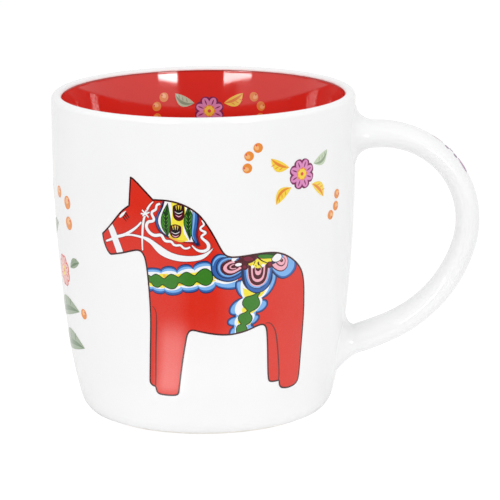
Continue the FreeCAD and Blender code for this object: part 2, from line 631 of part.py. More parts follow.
def check(doc, pieces):
    """Stop if any object failed, or if a sub-part isn't a sound solid."""
    failed = [o.Name for o in doc.Objects if {"Invalid", "Error"} & set(o.State)]
    if failed:
        raise RuntimeError(f"failed objects: {', '.join(failed)}")
    for piece in pieces:
        shape = piece.Shape
        if shape.isNull() or not shape.isValid() or not shape.Solids:
            raise RuntimeError(f"{piece.Label} is not a sound solid")
        box = shape.BoundBox
        print(f"{piece.Label}: {len(shape.Solids)} solids, {shape.Volume:.1f} mm3, "
              f"x {box.XMin:.2f} {box.XMax:.2f}, y {box.YMin:.2f} {box.YMax:.2f}, z {box.ZMin:.2f} {box.ZMax:.2f}")


def main():
    """Build the mug, check it and write one STEP file for each sub-part."""
    doc = FreeCAD.newDocument("mug")
    pieces = build(doc)
    check(doc, pieces)
    os.makedirs("parts", exist_ok=True)
    for piece in pieces:
        piece.Shape.exportStep(f"parts/{piece.Label}.step")


main()
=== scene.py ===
"""A porcelain mug with a red lining and a printed Dala horse, dressed over its CAD frame in a small studio.

The frame is in metres with +Z up, the origin on the mug's axis where it stands, the handle along +X and the
horse on the -Y side. Sizes in this file are in millimetres unless a name says otherwise, and MM turns them
into metres.
"""
from __future__ import annotations

import logging
import math
from dataclasses import dataclass, field
from enum import Enum

import bmesh
import bpy
import numpy as np
from mathutils import Matrix, Vector
from mathutils.geometry import delaunay_2d_cdt

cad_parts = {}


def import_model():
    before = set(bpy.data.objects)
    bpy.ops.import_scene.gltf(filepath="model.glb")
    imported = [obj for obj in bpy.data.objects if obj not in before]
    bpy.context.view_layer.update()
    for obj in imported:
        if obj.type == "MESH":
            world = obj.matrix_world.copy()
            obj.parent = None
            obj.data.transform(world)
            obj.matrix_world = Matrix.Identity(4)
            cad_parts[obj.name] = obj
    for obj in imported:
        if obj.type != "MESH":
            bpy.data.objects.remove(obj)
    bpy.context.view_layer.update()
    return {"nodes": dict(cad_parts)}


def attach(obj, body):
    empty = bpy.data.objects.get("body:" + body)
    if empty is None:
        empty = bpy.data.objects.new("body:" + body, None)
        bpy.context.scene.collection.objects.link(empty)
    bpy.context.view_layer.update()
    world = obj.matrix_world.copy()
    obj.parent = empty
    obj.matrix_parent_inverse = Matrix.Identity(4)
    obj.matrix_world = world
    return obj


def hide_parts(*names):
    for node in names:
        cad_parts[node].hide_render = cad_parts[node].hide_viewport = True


MM = 0.001
WHITE = (1.0, 1.0, 1.0, 1.0)
SPRAY_AZIMUTH = 41.0
SPRAY_DROP = 16.9
LINING_DROP = 12.3
log = logging.getLogger("mug")


# ---------------------------------------------------------------- nodes, colours and meshes

def linear(hex_colour: str) -> tuple[float, float, float, float]:
    """Turns an sRGB hex colour into linear RGBA.

    Args:
        hex_colour: Six hex digits, red first.

    Returns:
        Linear red, green and blue from 0 to 1, and an alpha of 1.
    """
    parts = np.array([int(hex_colour[i:i + 2], 16) for i in (0, 2, 4)]) / 255
    light = np.where(parts <= 0.04045, parts / 12.92, ((parts + 0.055) / 1.055) ** 2.4)
    return (*light.tolist(), 1.0)


def add_node(tree: bpy.types.NodeTree, kind: str, inputs: dict | None = None,
             **settings: object) -> bpy.types.Node:
    """Adds a node with its settings, values and links.

    Args:
        tree: The node tree that the node joins.
        kind: The node's type name.
        inputs: For each input, by name or number, a value, the output socket that feeds it, or a node whose
            first output does.
        **settings: Attributes of the node itself.

    Returns:
        The new node.
    """
    node = tree.nodes.new(kind)
    for name, value in settings.items():
        setattr(node, name, value)
    for key, value in (inputs or {}).items():
        if isinstance(value, bpy.types.Node):
            value = value.outputs[0]
        if isinstance(value, bpy.types.NodeSocket):
            tree.links.new(value, node.inputs[key])
        else:
            node.inputs[key].default_value = value
    return node


def new_material(name: str) -> tuple[bpy.types.Material, bpy.types.NodeTree]:
    """Makes an empty node material.

    Args:
        name: The material's name.

    Returns:
        The material and its node tree, with nothing in it.
    """
    material = bpy.data.materials.new(name)
    material.use_nodes = True
    material.node_tree.nodes.clear()
    return material, material.node_tree


def end_surface(tree: bpy.types.NodeTree, place: bpy.types.NodeSocket, colour: bpy.types.Node,
                roughness: float, ior: float, wave: tuple[float, float, float]) -> None:
    """Ends a material: its colour and shine, over shallow waves or grit.

    Args:
        tree: The material's node tree.
        place: The piece's coordinates.
        colour: The node that mixes the colour.
        roughness: The surface's roughness.
        ior: Its index of refraction.
        wave: The waves' width and height in millimetres, and how strongly they shade.
    """
    width_mm, height_mm, strength = wave
    relief = add_node(tree, "ShaderNodeTexNoise", {"Vector": place, "Scale": 1000 / width_mm, "Detail": 2.0})
    bump = add_node(tree, "ShaderNodeBump", {
        "Strength": strength, "Distance": height_mm * MM, "Height": relief})
    shader = add_node(tree, "ShaderNodeBsdfPrincipled", {
        "Base Color": colour.outputs[2], "Roughness": roughness, "IOR": ior, "Normal": bump})
    add_node(tree, "ShaderNodeOutputMaterial", {"Surface": shader})


def smooth_line(points: list[tuple[float, float]], closed: bool = False, step: float = 0.35) -> np.ndarray:
    """Runs a smooth line through points.

    The line is a cubic spline whose parameter grows by the square root of the distance between points: each
    coordinate's second derivatives solve one linear system, and are zero at the ends of an open line and go
    round on a closed one.

    Args:
        points: Points in order, each (u, v).
        closed: Whether the line comes back to its first point.
        step: The distance between samples.

    Returns:
        The samples, one row each. A closed line doesn't repeat its first sample.
    """
    knots = np.array(points + points[:1] if closed else points, dtype=float)
    reach = np.linalg.norm(np.diff(knots, axis=0), axis=1)
    gaps = np.sqrt(np.maximum(reach, 1e-6))
    place = np.concatenate([[0.0], np.cumsum(gaps)])
    count = len(gaps) if closed else len(knots)
    system, right = np.eye(count), np.zeros((count, 2))
    slopes = np.diff(knots, axis=0) / gaps[:, None]
    rows = np.arange(count) if closed else np.arange(1, count - 1)
    before, after = gaps[rows - 1], gaps[rows % len(gaps)]
    system[rows, rows] = 2 * (before + after)
    system[rows, rows - 1] += before
    system[rows, (rows + 1) % count] += after
    right[rows] = 6 * (slopes[rows % len(gaps)] - slopes[rows - 1])
    bend = np.linalg.solve(system, right)
    if closed:
        bend = np.vstack([bend, bend[:1]])
    where = np.interp(np.linspace(0, reach.sum(), max(int(reach.sum() / step) + 1, 3 * len(gaps) + 1)),
                      np.concatenate([[0.0], np.cumsum(reach)]), place)
    span = np.clip(np.searchsorted(place, where, side="right") - 1, 0, len(gaps) - 1)
    gap, left, rest = gaps[span, None], (where - place[span])[:, None], (place[span + 1] - where)[:, None]
    line = ((bend[span] * rest ** 3 + bend[span + 1] * left ** 3) / (6 * gap)
            + (knots[span] / gap - bend[span] * gap / 6) * rest
            + (knots[span + 1] / gap - bend[span + 1] * gap / 6) * left)
    return line[:-1] if closed else line


def build_mesh(name: str, points: np.ndarray, faces: np.ndarray | list,
               weld: float = 0.0) -> bpy.types.Object:
    """Puts a surface into a new object at the origin.

    Args:
        name: The object's name.
        points: One vertex a row, in millimetres.
        faces: One face a row, as vertex numbers in order, anticlockwise seen from outside.
        weld: Vertices nearer than this are joined, in millimetres.

    Returns:
        The object, smooth shaded, with sharp edges where faces meet at over 40 degrees.
    """
    mesh = bpy.data.meshes.new(name)
    rows = faces.tolist() if isinstance(faces, np.ndarray) else faces
    mesh.from_pydata((np.asarray(points) * MM).tolist(), [], rows)
    if weld:
        shape = bmesh.new()
        shape.from_mesh(mesh)
        bmesh.ops.remove_doubles(shape, verts=shape.verts, dist=weld * MM)
        bmesh.ops.dissolve_degenerate(shape, edges=shape.edges, dist=weld * MM)
        shape.to_mesh(mesh)
        shape.free()
    mesh.shade_smooth()
    mesh.set_sharp_from_angle(angle=math.radians(40))
    piece = bpy.data.objects.new(name, mesh)
    bpy.context.scene.collection.objects.link(piece)
    return piece


def grid_faces(rows: int, columns: int, closed_rows: bool, closed_columns: bool) -> np.ndarray:
    """Lists the four-sided faces of a grid of vertices.

    Face (i, j) has the corners (i, j), (i + 1, j), (i + 1, j + 1) and (i, j + 1), counted round where a side
    is closed.

    Args:
        rows: Vertices along the first parameter.
        columns: Vertices along the second parameter.
        closed_rows: Whether the last row joins the first.
        closed_columns: Whether the last column joins the first.

    Returns:
        One face a row, as vertex numbers.
    """
    i, j = np.meshgrid(np.arange(rows if closed_rows else rows - 1),
                       np.arange(columns if closed_columns else columns - 1), indexing="ij")
    below, beside = (i + 1) % rows, (j + 1) % columns
    corners = [i * columns + j, below * columns + j, below * columns + beside, i * columns + beside]
    return np.stack([corner.ravel() for corner in corners], axis=1)


# ---------------------------------------------------------------- the cup's outline

@dataclass
class Corner:
    """A corner of a turned profile, and the arc that leads from it to the next corner."""

    r: float
    z: float
    arc: float | None = None
    left: bool = False


def trace(corners: list[Corner], step: float = 1.2, closed: bool = True) -> np.ndarray:
    """Samples a profile of lines and arcs.

    An arc of radius R over a chord c has its centre at a distance sqrt(R^2 - c^2 / 4) from the chord's
    middle, on its left or right, and is sampled at even angles of at most 6 degrees and at most one step
    apart.

    Args:
        corners: The corners in order.
        step: The greatest distance between samples.
        closed: Whether the last corner leads back to the first.

    Returns:
        The samples (r, z), one row each, without a repeat of the first.
    """
    parts = []
    for here, there in zip(corners, corners[1:] + (corners[:1] if closed else [])):
        start, end = np.array([here.r, here.z]), np.array([there.r, there.z])
        chord = end - start
        length = math.hypot(*chord)
        if here.arc is None:
            share = np.linspace(0, 1, max(int(length / (3 * step)), 1), endpoint=False)[:, None]
            parts.append(start + chord * share)
            continue
        side = np.array([-chord[1], chord[0]]) / length * (1 if here.left else -1)
        centre = start + chord / 2 + side * math.sqrt(max(here.arc ** 2 - length ** 2 / 4, 0))
        first = math.atan2(*(start - centre)[::-1])
        turn = 2 * math.asin(min(length / 2 / here.arc, 1)) * (1 if here.left else -1)
        count = max(int(abs(turn) / math.radians(6)), int(abs(turn) * here.arc / step), 2)
        angle = first + turn * np.linspace(0, 1, count, endpoint=False)
        parts.append(centre + here.arc * np.stack([np.cos(angle), np.sin(angle)], axis=1))
    return np.concatenate(parts)


@dataclass
class CupOutline:
    """The cup's wall as one tangent outline: a vertical rim, a belly arc, a haunch arc and a base corner."""

    rim_radius: float = 42.2
    cup_height: float = 90.7
    wall: float = 4.6
    lip_wall: float = 2.5
    belly_drop: float = 12.7
    belly_arc: float = 437.0
    haunch_height: float = 20.0
    haunch_arc: float = 120.0
    base_corner: float = 7.0
    foot_width: float = 3.23
    foot_recess: float = 1.6
    floor_height: float = 5.6
    floor_corner: float = 12.0
    glaze: float = 0.3
    glaze_line: float = 1.5
    lining_drop: float = 0.9
    lip_bow: float = 0.076
    taper_cut: float = 0.25

    def __post_init__(self) -> None:
        """Works out the centres and turns of the arcs from the sizes."""
        self.belly_height = self.cup_height - self.belly_drop
        self.belly_turn = math.asin((self.belly_height - self.haunch_height) / self.belly_arc)
        self.belly_centre = self.rim_radius - self.belly_arc
        apart = self.belly_arc - self.haunch_arc
        self.haunch_centre = self.belly_centre + apart * math.cos(self.belly_turn)
        self.haunch_centre_height = self.belly_height - apart * math.sin(self.belly_turn)
        apart = self.haunch_arc - self.base_corner
        self.base_turn = math.asin((self.haunch_centre_height - self.base_corner) / apart)
        self.base_centre = self.haunch_centre + apart * math.cos(self.base_turn)
        self.foot_inner_radius = self.base_centre - self.foot_width
        apart = self.haunch_arc - self.wall - self.floor_corner
        self.floor_centre_height = self.floor_height + self.floor_corner
        self.floor_turn = math.asin((self.haunch_centre_height - self.floor_centre_height) / apart)
        self.floor_centre = self.haunch_centre + apart * math.cos(self.floor_turn)
        self.lip_centre = self.rim_radius - self.lip_wall / 2
        self.lip_height = self.cup_height - self.lip_wall / 2
        self.lining_height = self.cup_height + self.glaze - self.lining_drop
        down = trace(self.wall_down(self.glaze) + [Corner(self.base_centre, -self.glaze)], 0.5, False)
        down = np.vstack([(self.rim_radius + self.glaze, self.lip_height), down])
        self.outer_heights, self.outer_radii = down[::-1, 1], down[::-1, 0]

    def wall_down(self, grow: float) -> list[Corner]:
        """The wall's corners from the belly's top to the haunch's foot, moved out by grow."""
        belly, haunch = self.belly_arc + grow, self.haunch_arc + grow
        return [
            Corner(self.rim_radius + grow, self.belly_height, belly),
            Corner(self.belly_centre + belly * math.cos(self.belly_turn),
                   self.belly_height - belly * math.sin(self.belly_turn), haunch),
            Corner(self.haunch_centre + haunch * math.cos(self.base_turn),
                   self.haunch_centre_height - haunch * math.sin(self.base_turn), self.base_corner + grow),
        ]

    def cavity_down(self, skin: float) -> list[Corner]:
        """The cavity's corners from the belly's top to the floor's middle, with a skin inside the wall."""
        belly, haunch = self.belly_arc - skin, self.haunch_arc - skin
        floor = self.floor_corner + self.wall - skin
        return [
            Corner(self.rim_radius - skin, self.belly_height, belly),
            Corner(self.belly_centre + belly * math.cos(self.belly_turn),
                   self.belly_height - belly * math.sin(self.belly_turn), haunch),
            Corner(self.haunch_centre + haunch * math.cos(self.floor_turn),
                   self.haunch_centre_height - haunch * math.sin(self.floor_turn), floor),
            Corner(self.floor_centre, self.floor_centre_height - floor),
            Corner(0.0, self.floor_centre_height - floor),
        ]

    def lip_edge(self, radius: float) -> float:
        """How far from the axis the lip's inner round, of a radius, is where the lining stops."""
        return self.lip_centre - math.sqrt(radius ** 2 - (self.lining_height - self.lip_height) ** 2)

    def lip_taper(self, skin: float) -> list[Corner]:
        """The slightly bowed taper inside the lip, as one arc down to the belly's top.

        It is cut just under the lip, so that the shading of the corner there stays close to it.
        """
        rise, run = self.lip_height - self.belly_height, self.wall - self.lip_wall
        chord = math.hypot(rise, run)
        arc = (chord ** 2 / 4 + self.lip_bow ** 2) / (2 * self.lip_bow)
        share = self.taper_cut / chord
        bow = 4 * self.lip_bow * share * (1 - share) / chord
        top = self.rim_radius - self.lip_wall + self.wall - skin
        return [Corner(top, self.lip_height, arc, True),
                Corner(top - run * share - bow * rise, self.lip_height - rise * share + bow * run, arc, True)]

    def outer_radius(self, height: np.ndarray) -> np.ndarray:
        """How far from the axis the glazed outside is at each height."""
        return np.interp(height, self.outer_heights, self.outer_radii)

    def outer_slope(self, height: np.ndarray) -> np.ndarray:
        """How fast the glazed outside widens with height, from the two neighbouring half millimetres."""
        return self.outer_radius(height + 0.5) - self.outer_radius(height - 0.5)

    def inner_radius(self, height: np.ndarray) -> np.ndarray:
        """How far from the axis the lining's face is at each height above the haunch."""
        skin = self.wall + self.glaze
        line = trace([*self.lip_taper(skin), *self.cavity_down(skin)][:5], 0.5, False)
        return np.interp(height, line[::-1, 1], line[::-1, 0])


def upward(corners: list[Corner], first: Corner) -> list[Corner]:
    """The same corners in the other order, from a first corner, each arc on the stretch that it was on."""
    names = [first] + corners[::-1]
    arcs = [corner.arc for corner in corners][::-1] + [None]
    lefts = [not corner.left for corner in corners][::-1] + [False]
    return [Corner(c.r, c.z, arc, left) for c, arc, left in zip(names, arcs, lefts)]


def turn_profile(name: str, profile: np.ndarray, steps: int = 288) -> bpy.types.Object:
    """Turns a closed profile about Z into a shell.

    The point at (i, j) is the profile's point i, (r cos a, r sin a, z), at the angle a of column j. Points on
    the axis are welded into one.

    Args:
        name: The object's name.
        profile: The profile (r, z) in order, either way round.
        steps: Columns round the axis.

    Returns:
        The shell, with its faces outwards.
    """
    beside = np.roll(profile, -1, axis=0)
    if (profile[:, 0] * beside[:, 1] - beside[:, 0] * profile[:, 1]).sum() < 0:
        profile = profile[::-1]
    angle = np.linspace(0, 2 * math.pi, steps, endpoint=False)
    r, z = profile[:, :1], profile[:, 1:]
    points = np.stack([r * np.cos(angle), r * np.sin(angle), np.broadcast_to(z, (len(z), steps))], axis=2)
    faces = grid_faces(len(profile), steps, True, True)[:, ::-1]
    on_axis = (profile[:, 0] < 1e-6)[faces // steps].all(axis=1)
    return build_mesh(name, points.reshape(-1, 3), faces[~on_axis], weld=1e-4)


# ---------------------------------------------------------------- finishes

@dataclass(frozen=True)
class WhiteGlaze:
    """Clear feldspathic glaze, dipped and fired over white porcelain.

    It gives a bright, glassy, slightly cool white, with very shallow waves where the melt levelled out, and
    the red of the lining bleeding a hair's breadth into its edge.
    """

    white: str = "f5f5f5"
    cool: str = "f0f0f1"
    bleed: str = "e9a9a6"
    roughness: float = 0.07
    ior: float = 1.5
    cloud_mm: float = 26.0
    wave: tuple[float, float, float] = (7.0, 0.012, 0.35)
    edge_height_mm: float = 90.1
    bleed_fade_mm: tuple[float, float] = (0.05, 0.55)
    bleed_depth_mm: float = 1.0
    bleed_radius_mm: float = 40.6
    ragged_mm: float = 2.5
    ragged_height_mm: float = 0.35

    def build(self) -> bpy.types.Material:
        """Builds the material."""
        material, tree = new_material("clear_glaze_on_white_porcelain")
        place = add_node(tree, "ShaderNodeTexCoord").outputs["Object"]
        cloud = add_node(tree, "ShaderNodeTexNoise", {
            "Vector": place, "Scale": 1000 / self.cloud_mm, "Detail": 3.0})
        body = add_node(tree, "ShaderNodeMix", {0: cloud, 6: linear(self.white), 7: linear(self.cool)},
                        data_type="RGBA")
        colour = add_node(tree, "ShaderNodeMix", {0: self.fringe(tree, place), 6: body.outputs[2],
                                                  7: linear(self.bleed)}, data_type="RGBA")
        end_surface(tree, place, colour, self.roughness, self.ior, self.wave)
        return material

    def fringe(self, tree: bpy.types.NodeTree, place: bpy.types.NodeSocket) -> bpy.types.Node:
        """How much red has bled in: most at the lining's edge, ragged above, and only on the rim's inside."""
        height = add_node(tree, "ShaderNodeSeparateXYZ", {0: place}).outputs["Z"]
        ragged = add_node(tree, "ShaderNodeTexNoise", {
            "Vector": place, "Scale": 1000 / self.ragged_mm, "Detail": 2.0})
        drift = add_node(tree, "ShaderNodeMath", {0: ragged, 1: self.ragged_height_mm * MM, 2: height},
                         operation="MULTIPLY_ADD")
        flat = add_node(tree, "ShaderNodeVectorMath", {0: place, 1: (1.0, 1.0, 0.0)}, operation="MULTIPLY")
        radius = add_node(tree, "ShaderNodeVectorMath", {0: flat}, operation="LENGTH").outputs["Value"]
        inside = add_node(
            tree, "ShaderNodeMath", {0: radius, 1: self.bleed_radius_mm * MM}, operation="LESS_THAN")
        above = add_node(
            tree, "ShaderNodeMath", {0: height, 1: (self.edge_height_mm - self.bleed_depth_mm) * MM},
            operation="GREATER_THAN")
        inside = add_node(tree, "ShaderNodeMath", {0: inside, 1: above}, operation="MULTIPLY")
        full, none = self.bleed_fade_mm
        near = add_node(tree, "ShaderNodeMapRange", {"Value": drift, 1: (self.edge_height_mm + full) * MM,
                                                     2: (self.edge_height_mm + none) * MM, 3: 1.0, 4: 0.0})
        return add_node(tree, "ShaderNodeMath", {0: near, 1: inside}, operation="MULTIPLY")


@dataclass(frozen=True)
class RedGlaze:
    """Cadmium-red glaze, poured inside and fired glossy.

    It gives a deep, even red with a wet shine, a little darker where it lies thicker and along its upper
    edge.
    """

    red: str = "e63228"
    thick: str = "da2b22"
    edge: str = "8e1a18"
    roughness: float = 0.05
    ior: float = 1.58
    cloud_mm: float = 18.0
    wave: tuple[float, float, float] = (9.0, 0.012, 0.3)
    edge_height_mm: float = 90.1
    edge_width_mm: float = 0.55

    def build(self) -> bpy.types.Material:
        """Builds the material."""
        material, tree = new_material("red_glaze")
        place = add_node(tree, "ShaderNodeTexCoord").outputs["Object"]
        cloud = add_node(tree, "ShaderNodeTexNoise", {
            "Vector": place, "Scale": 1000 / self.cloud_mm, "Detail": 4.0})
        body = add_node(tree, "ShaderNodeMix", {0: cloud, 6: linear(self.red), 7: linear(self.thick)},
                        data_type="RGBA")
        height = add_node(tree, "ShaderNodeSeparateXYZ", {0: place}).outputs["Z"]
        near = add_node(tree, "ShaderNodeMapRange", {
            "Value": height, 1: (self.edge_height_mm - self.edge_width_mm) * MM, 2: self.edge_height_mm * MM})
        colour = add_node(tree, "ShaderNodeMix", {0: near, 6: body.outputs[2], 7: linear(self.edge)},
                          data_type="RGBA")
        end_surface(tree, place, colour, self.roughness, self.ior, self.wave)
        return material


@dataclass(frozen=True)
class BarePorcelain:
    """Unglazed porcelain, sponged and fired dry.

    It gives a matt, faintly warm white with a fine grit, drawn at 0.35 mm so that it shows, and small grey
    marks where the foot was rubbed.
    """

    clay: str = "f2efe9"
    rubbed: str = "dcd8d0"
    roughness: float = 0.72
    ior: float = 1.5
    grit: tuple[float, float, float] = (0.35, 0.05, 0.5)
    mark_mm: float = 5.0
    mark_range: tuple[float, float] = (0.5, 0.75)

    def build(self) -> bpy.types.Material:
        """Builds the material."""
        material, tree = new_material("bare_porcelain")
        place = add_node(tree, "ShaderNodeTexCoord").outputs["Object"]
        marks = add_node(tree, "ShaderNodeTexNoise", {
            "Vector": place, "Scale": 1000 / self.mark_mm, "Detail": 5.0})
        low, high = self.mark_range
        rub = add_node(tree, "ShaderNodeMapRange", {"Value": marks, 1: low, 2: high})
        colour = add_node(tree, "ShaderNodeMix", {0: rub, 6: linear(self.clay), 7: linear(self.rubbed)},
                          data_type="RGBA")
        end_surface(tree, place, colour, self.roughness, self.ior, self.grit)
        return material


# ---------------------------------------------------------------- the cup

@dataclass
class Cup:
    """The turned cup: a clay body, white glaze outside, red glaze inside and glaze in the foot's hollow."""

    outline: CupOutline
    skin: bpy.types.Material
    lining: bpy.types.Material
    clay: bpy.types.Material

    def body_profile(self) -> np.ndarray:
        """The clay: up the outside from the foot ring, over the round rim, and down inside to the floor."""
        o, half = self.outline, self.outline.lip_wall / 2
        return trace([
            Corner(0, o.foot_recess), Corner(o.foot_inner_radius, o.foot_recess),
            Corner(o.foot_inner_radius, 0), *upward(o.wall_down(0), Corner(o.base_centre, 0)),
            Corner(o.rim_radius, o.lip_height, half, True), Corner(o.lip_centre, o.cup_height, half, True),
            *o.lip_taper(o.wall), *o.cavity_down(o.wall)])

    def white_profile(self) -> np.ndarray:
        """The white glaze: up the outside from above the dry foot, over the rim to the lining, and back."""
        o, half = self.outline, self.outline.lip_wall / 2
        thick = half + o.glaze
        rise = o.base_corner - o.glaze_line
        clay_foot = Corner(o.base_centre + math.sqrt(o.base_corner ** 2 - rise ** 2), o.glaze_line)
        glaze_foot = Corner(
            o.base_centre + math.sqrt((o.base_corner + o.glaze) ** 2 - rise ** 2), o.glaze_line)
        return trace([
            *upward(o.wall_down(o.glaze), glaze_foot),
            Corner(o.rim_radius + o.glaze, o.lip_height, thick, True),
            Corner(o.lip_centre, o.cup_height + o.glaze, thick, True),
            Corner(o.lip_edge(thick), o.lining_height),
            Corner(o.lip_edge(half), o.lining_height, half, False),
            Corner(o.lip_centre, o.cup_height, half, False), Corner(o.rim_radius, o.lip_height),
            *o.wall_down(0), clay_foot])

    def red_profile(self) -> np.ndarray:
        """The red glaze: down the clay from below the rim to the floor's middle, and back up its own face."""
        o, half = self.outline, self.outline.lip_wall / 2
        thick = half + o.glaze
        skin = o.wall + o.glaze
        face = [Corner(o.lip_edge(thick), o.lining_height, thick, True), *o.lip_taper(skin),
                *o.cavity_down(skin)]
        return trace([
            Corner(o.lip_edge(half), o.lining_height, half, True), *o.lip_taper(o.wall),
            *o.cavity_down(o.wall), *upward(face[:-1], face[-1])])

    def foot_profile(self) -> np.ndarray:
        """The glaze in the foot's hollow, with a rounded edge where it pulled back from the ring."""
        o = self.outline
        low, edge = o.foot_recess - o.glaze, o.foot_inner_radius
        return trace([Corner(0, low), Corner(edge - 0.3, low, 0.3, True), Corner(edge, o.foot_recess),
                      Corner(0, o.foot_recess)])

    def build(self) -> list[bpy.types.Object]:
        """Builds the four shells and dresses them."""
        pieces = []
        for name, node, profile, finish, slot in (
                ("clay_cup", "mug_body", self.body_profile(), self.clay, "porcelain"),
                ("white_glaze_coat", "body_glaze", self.white_profile(), self.skin, "white_glaze"),
                ("red_glaze_coat", "lining_glaze", self.red_profile(), self.lining, "red_glaze"),
                ("foot_hollow_glaze", "foot_glaze", self.foot_profile(), self.skin, "white_glaze")):
            piece = turn_profile(name, profile)
            piece.data.materials.append(finish)
            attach(piece, "root")
            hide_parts(node)
            pieces.append(piece)
        return pieces


# ---------------------------------------------------------------- the handle

@dataclass
class Handle:
    """The strap handle, pulled as an oval and flared where it is luted to the wall."""

    outline: CupOutline
    skin: bpy.types.Material
    top_drop: float = 12.0
    reach: float = 31.64
    upper_arc: float = 24.5
    upper_turn: float = 106.0
    foot_height: float = 18.9
    foot_rise: float = 4.042
    foot_run: float = 13.089
    bend_ease: float = 6.9
    foot_ease: float = 2.38
    thickness: float = 6.1
    root_thickness: float = 7.6
    width: float = 11.8
    root_width: float = 13.4
    root_flare: float = 2.7
    side_flare: float = 2.0
    flare_length: float = 5.0
    fillet: float = 1.6
    bite: float = 0.5
    hold: float = 6.5
    root_lead: float = 1.5
    foot_lead: float = 3.0

    def __post_init__(self) -> None:
        """Works out the centre line, how far along it each sample lies, and its length."""
        self.line, self.way = self.centre_line()
        self.run = np.concatenate([[0.0], np.cumsum(np.linalg.norm(np.diff(self.line, axis=0), axis=1))])
        self.length = self.run[-1]

    def centre_line(self, step: float = 0.8) -> tuple[np.ndarray, np.ndarray]:
        """The centre line from the upper root to the lower one.

        It is a level line, a circle's arc, a second arc tangent to the first and through its own end, and a
        cubic Bezier curve that ends level on the wall.

        Args:
            step: The distance between samples.

        Returns:
            The samples (x, z) and the unit directions of travel.
        """
        o = self.outline
        top, wall = o.cup_height - self.top_drop, o.rim_radius
        centre = np.array([wall + self.reach - self.upper_arc, top - self.upper_arc])
        foot = np.array([o.haunch_centre + math.sqrt(o.haunch_arc ** 2
                                                     - (self.foot_height - o.haunch_centre_height) ** 2),
                         self.foot_height])
        end = foot + (self.foot_run, self.foot_rise)
        join = math.radians(90 - self.upper_turn)
        outward = np.array([math.cos(join), math.sin(join)])
        chord = end - (centre + outward * self.upper_arc)
        lower = -(chord @ chord) / (2 * (chord @ outward))
        below = centre + outward * (self.upper_arc - lower)
        last = math.atan2(end[1] - below[1], end[0] - below[0])
        pull = end + np.array([math.sin(last), -math.cos(last)]) * self.bend_ease
        ease = foot + (self.foot_ease, 0)

        lead = np.linspace(wall, centre[0], 14, endpoint=False)[:, None] * (1, 0) + (0, top)
        steps = int(self.upper_arc * (math.pi / 2 - join) / step)
        turn = np.linspace(math.pi / 2, join, steps, endpoint=False)[:, None]
        arc = centre + self.upper_arc * np.hstack([np.cos(turn), np.sin(turn)])
        turn = np.linspace(join, last, int(lower * (join - last) / step), endpoint=False)[:, None]
        second = below + lower * np.hstack([np.cos(turn), np.sin(turn)])
        t = np.linspace(0, 1, 40)[:, None]
        curve = end * (1 - t) ** 3 + pull * 3 * t * (1 - t) ** 2 + ease * 3 * t ** 2 * (1 - t) + foot * t ** 3
        line = np.vstack([lead, arc, second, curve])
        way = np.gradient(line, axis=0)
        way[0], way[-1] = (1, 0), (-1, 0)
        return line, way / np.linalg.norm(way, axis=1, keepdims=True)

    def section(self, run: np.ndarray | float) -> tuple[np.ndarray, np.ndarray]:
        """Half the glazed strap's thickness and width.

        They go from the middle's sizes to the roots' with a power of the distance from the middle, the third
        towards the top and 1.5 towards the foot, plus a flare that falls off as the square of the distance
        from the wall, plus a circular fillet of glaze.

        Args:
            run: Distances along the centre line from the upper root.

        Returns:
            Half thicknesses and half widths.
        """
        off = np.minimum(run, self.length - run)
        share = 2 * (run + self.root_lead) / (self.length + (self.root_lead + self.foot_lead)) - 1
        swell = np.where(share < 0, np.abs(share) ** 3.0, np.abs(share) ** 1.5)
        spread = np.clip(1 - off / self.flare_length, 0, None) ** 2
        near = np.clip(self.fillet - off, 0, None)
        # A hair less than the whole fillet keeps its edge from standing square on the wall.
        fillet = self.fillet - np.sqrt(self.fillet ** 2 - near ** 2 * 0.999) + self.outline.glaze
        thick = (self.thickness + (self.root_thickness - self.thickness) * swell) / 2
        wide = (self.width + (self.root_width - self.width) * swell) / 2
        return thick + self.root_flare * spread + fillet, wide + self.side_flare * spread + fillet

    def rings(self, around: int = 72) -> np.ndarray:
        """The rings of the glazed surface, from inside the wall at the top to inside it at the bottom.

        Ring i is an ellipse across the centre line. Near the wall each point slides along X until it is as
        far from the round wall as the ring's middle is, so that the rings lie round the cup.

        Args:
            around: Points in each ring.

        Returns:
            Points as an array of (rings, around, 3).
        """
        line, way = self.line, self.way
        off = np.minimum(self.run, self.length - self.run)
        thick, wide = self.section(self.run)

        angle = np.linspace(0, 2 * math.pi, around, endpoint=False)
        y = wide[:, None] * np.cos(angle)
        lift = thick[:, None] * np.sin(angle)
        x = line[:, :1] - way[:, 1:] * lift
        z = line[:, 1:] + way[:, :1] * lift
        on_wall = np.sqrt(np.clip(self.outline.outer_radius(z) ** 2 - y ** 2, 0, None))
        hold = np.clip(1 - off / self.hold, 0, 1)[:, None]
        hold = hold * hold * (3 - 2 * hold)
        x = x * (1 - hold) + (on_wall + off[:, None]) * hold
        rings = np.stack([x, y, z], axis=2)
        return np.concatenate([self.sunk(rings[0]), rings, self.sunk(rings[-1])])

    def sunk(self, ring: np.ndarray) -> np.ndarray:
        """A root's last ring, moved into the wall by the bite, as one more ring."""
        inward = ring[None].copy()
        inward[0, :, 0] -= self.bite
        return inward

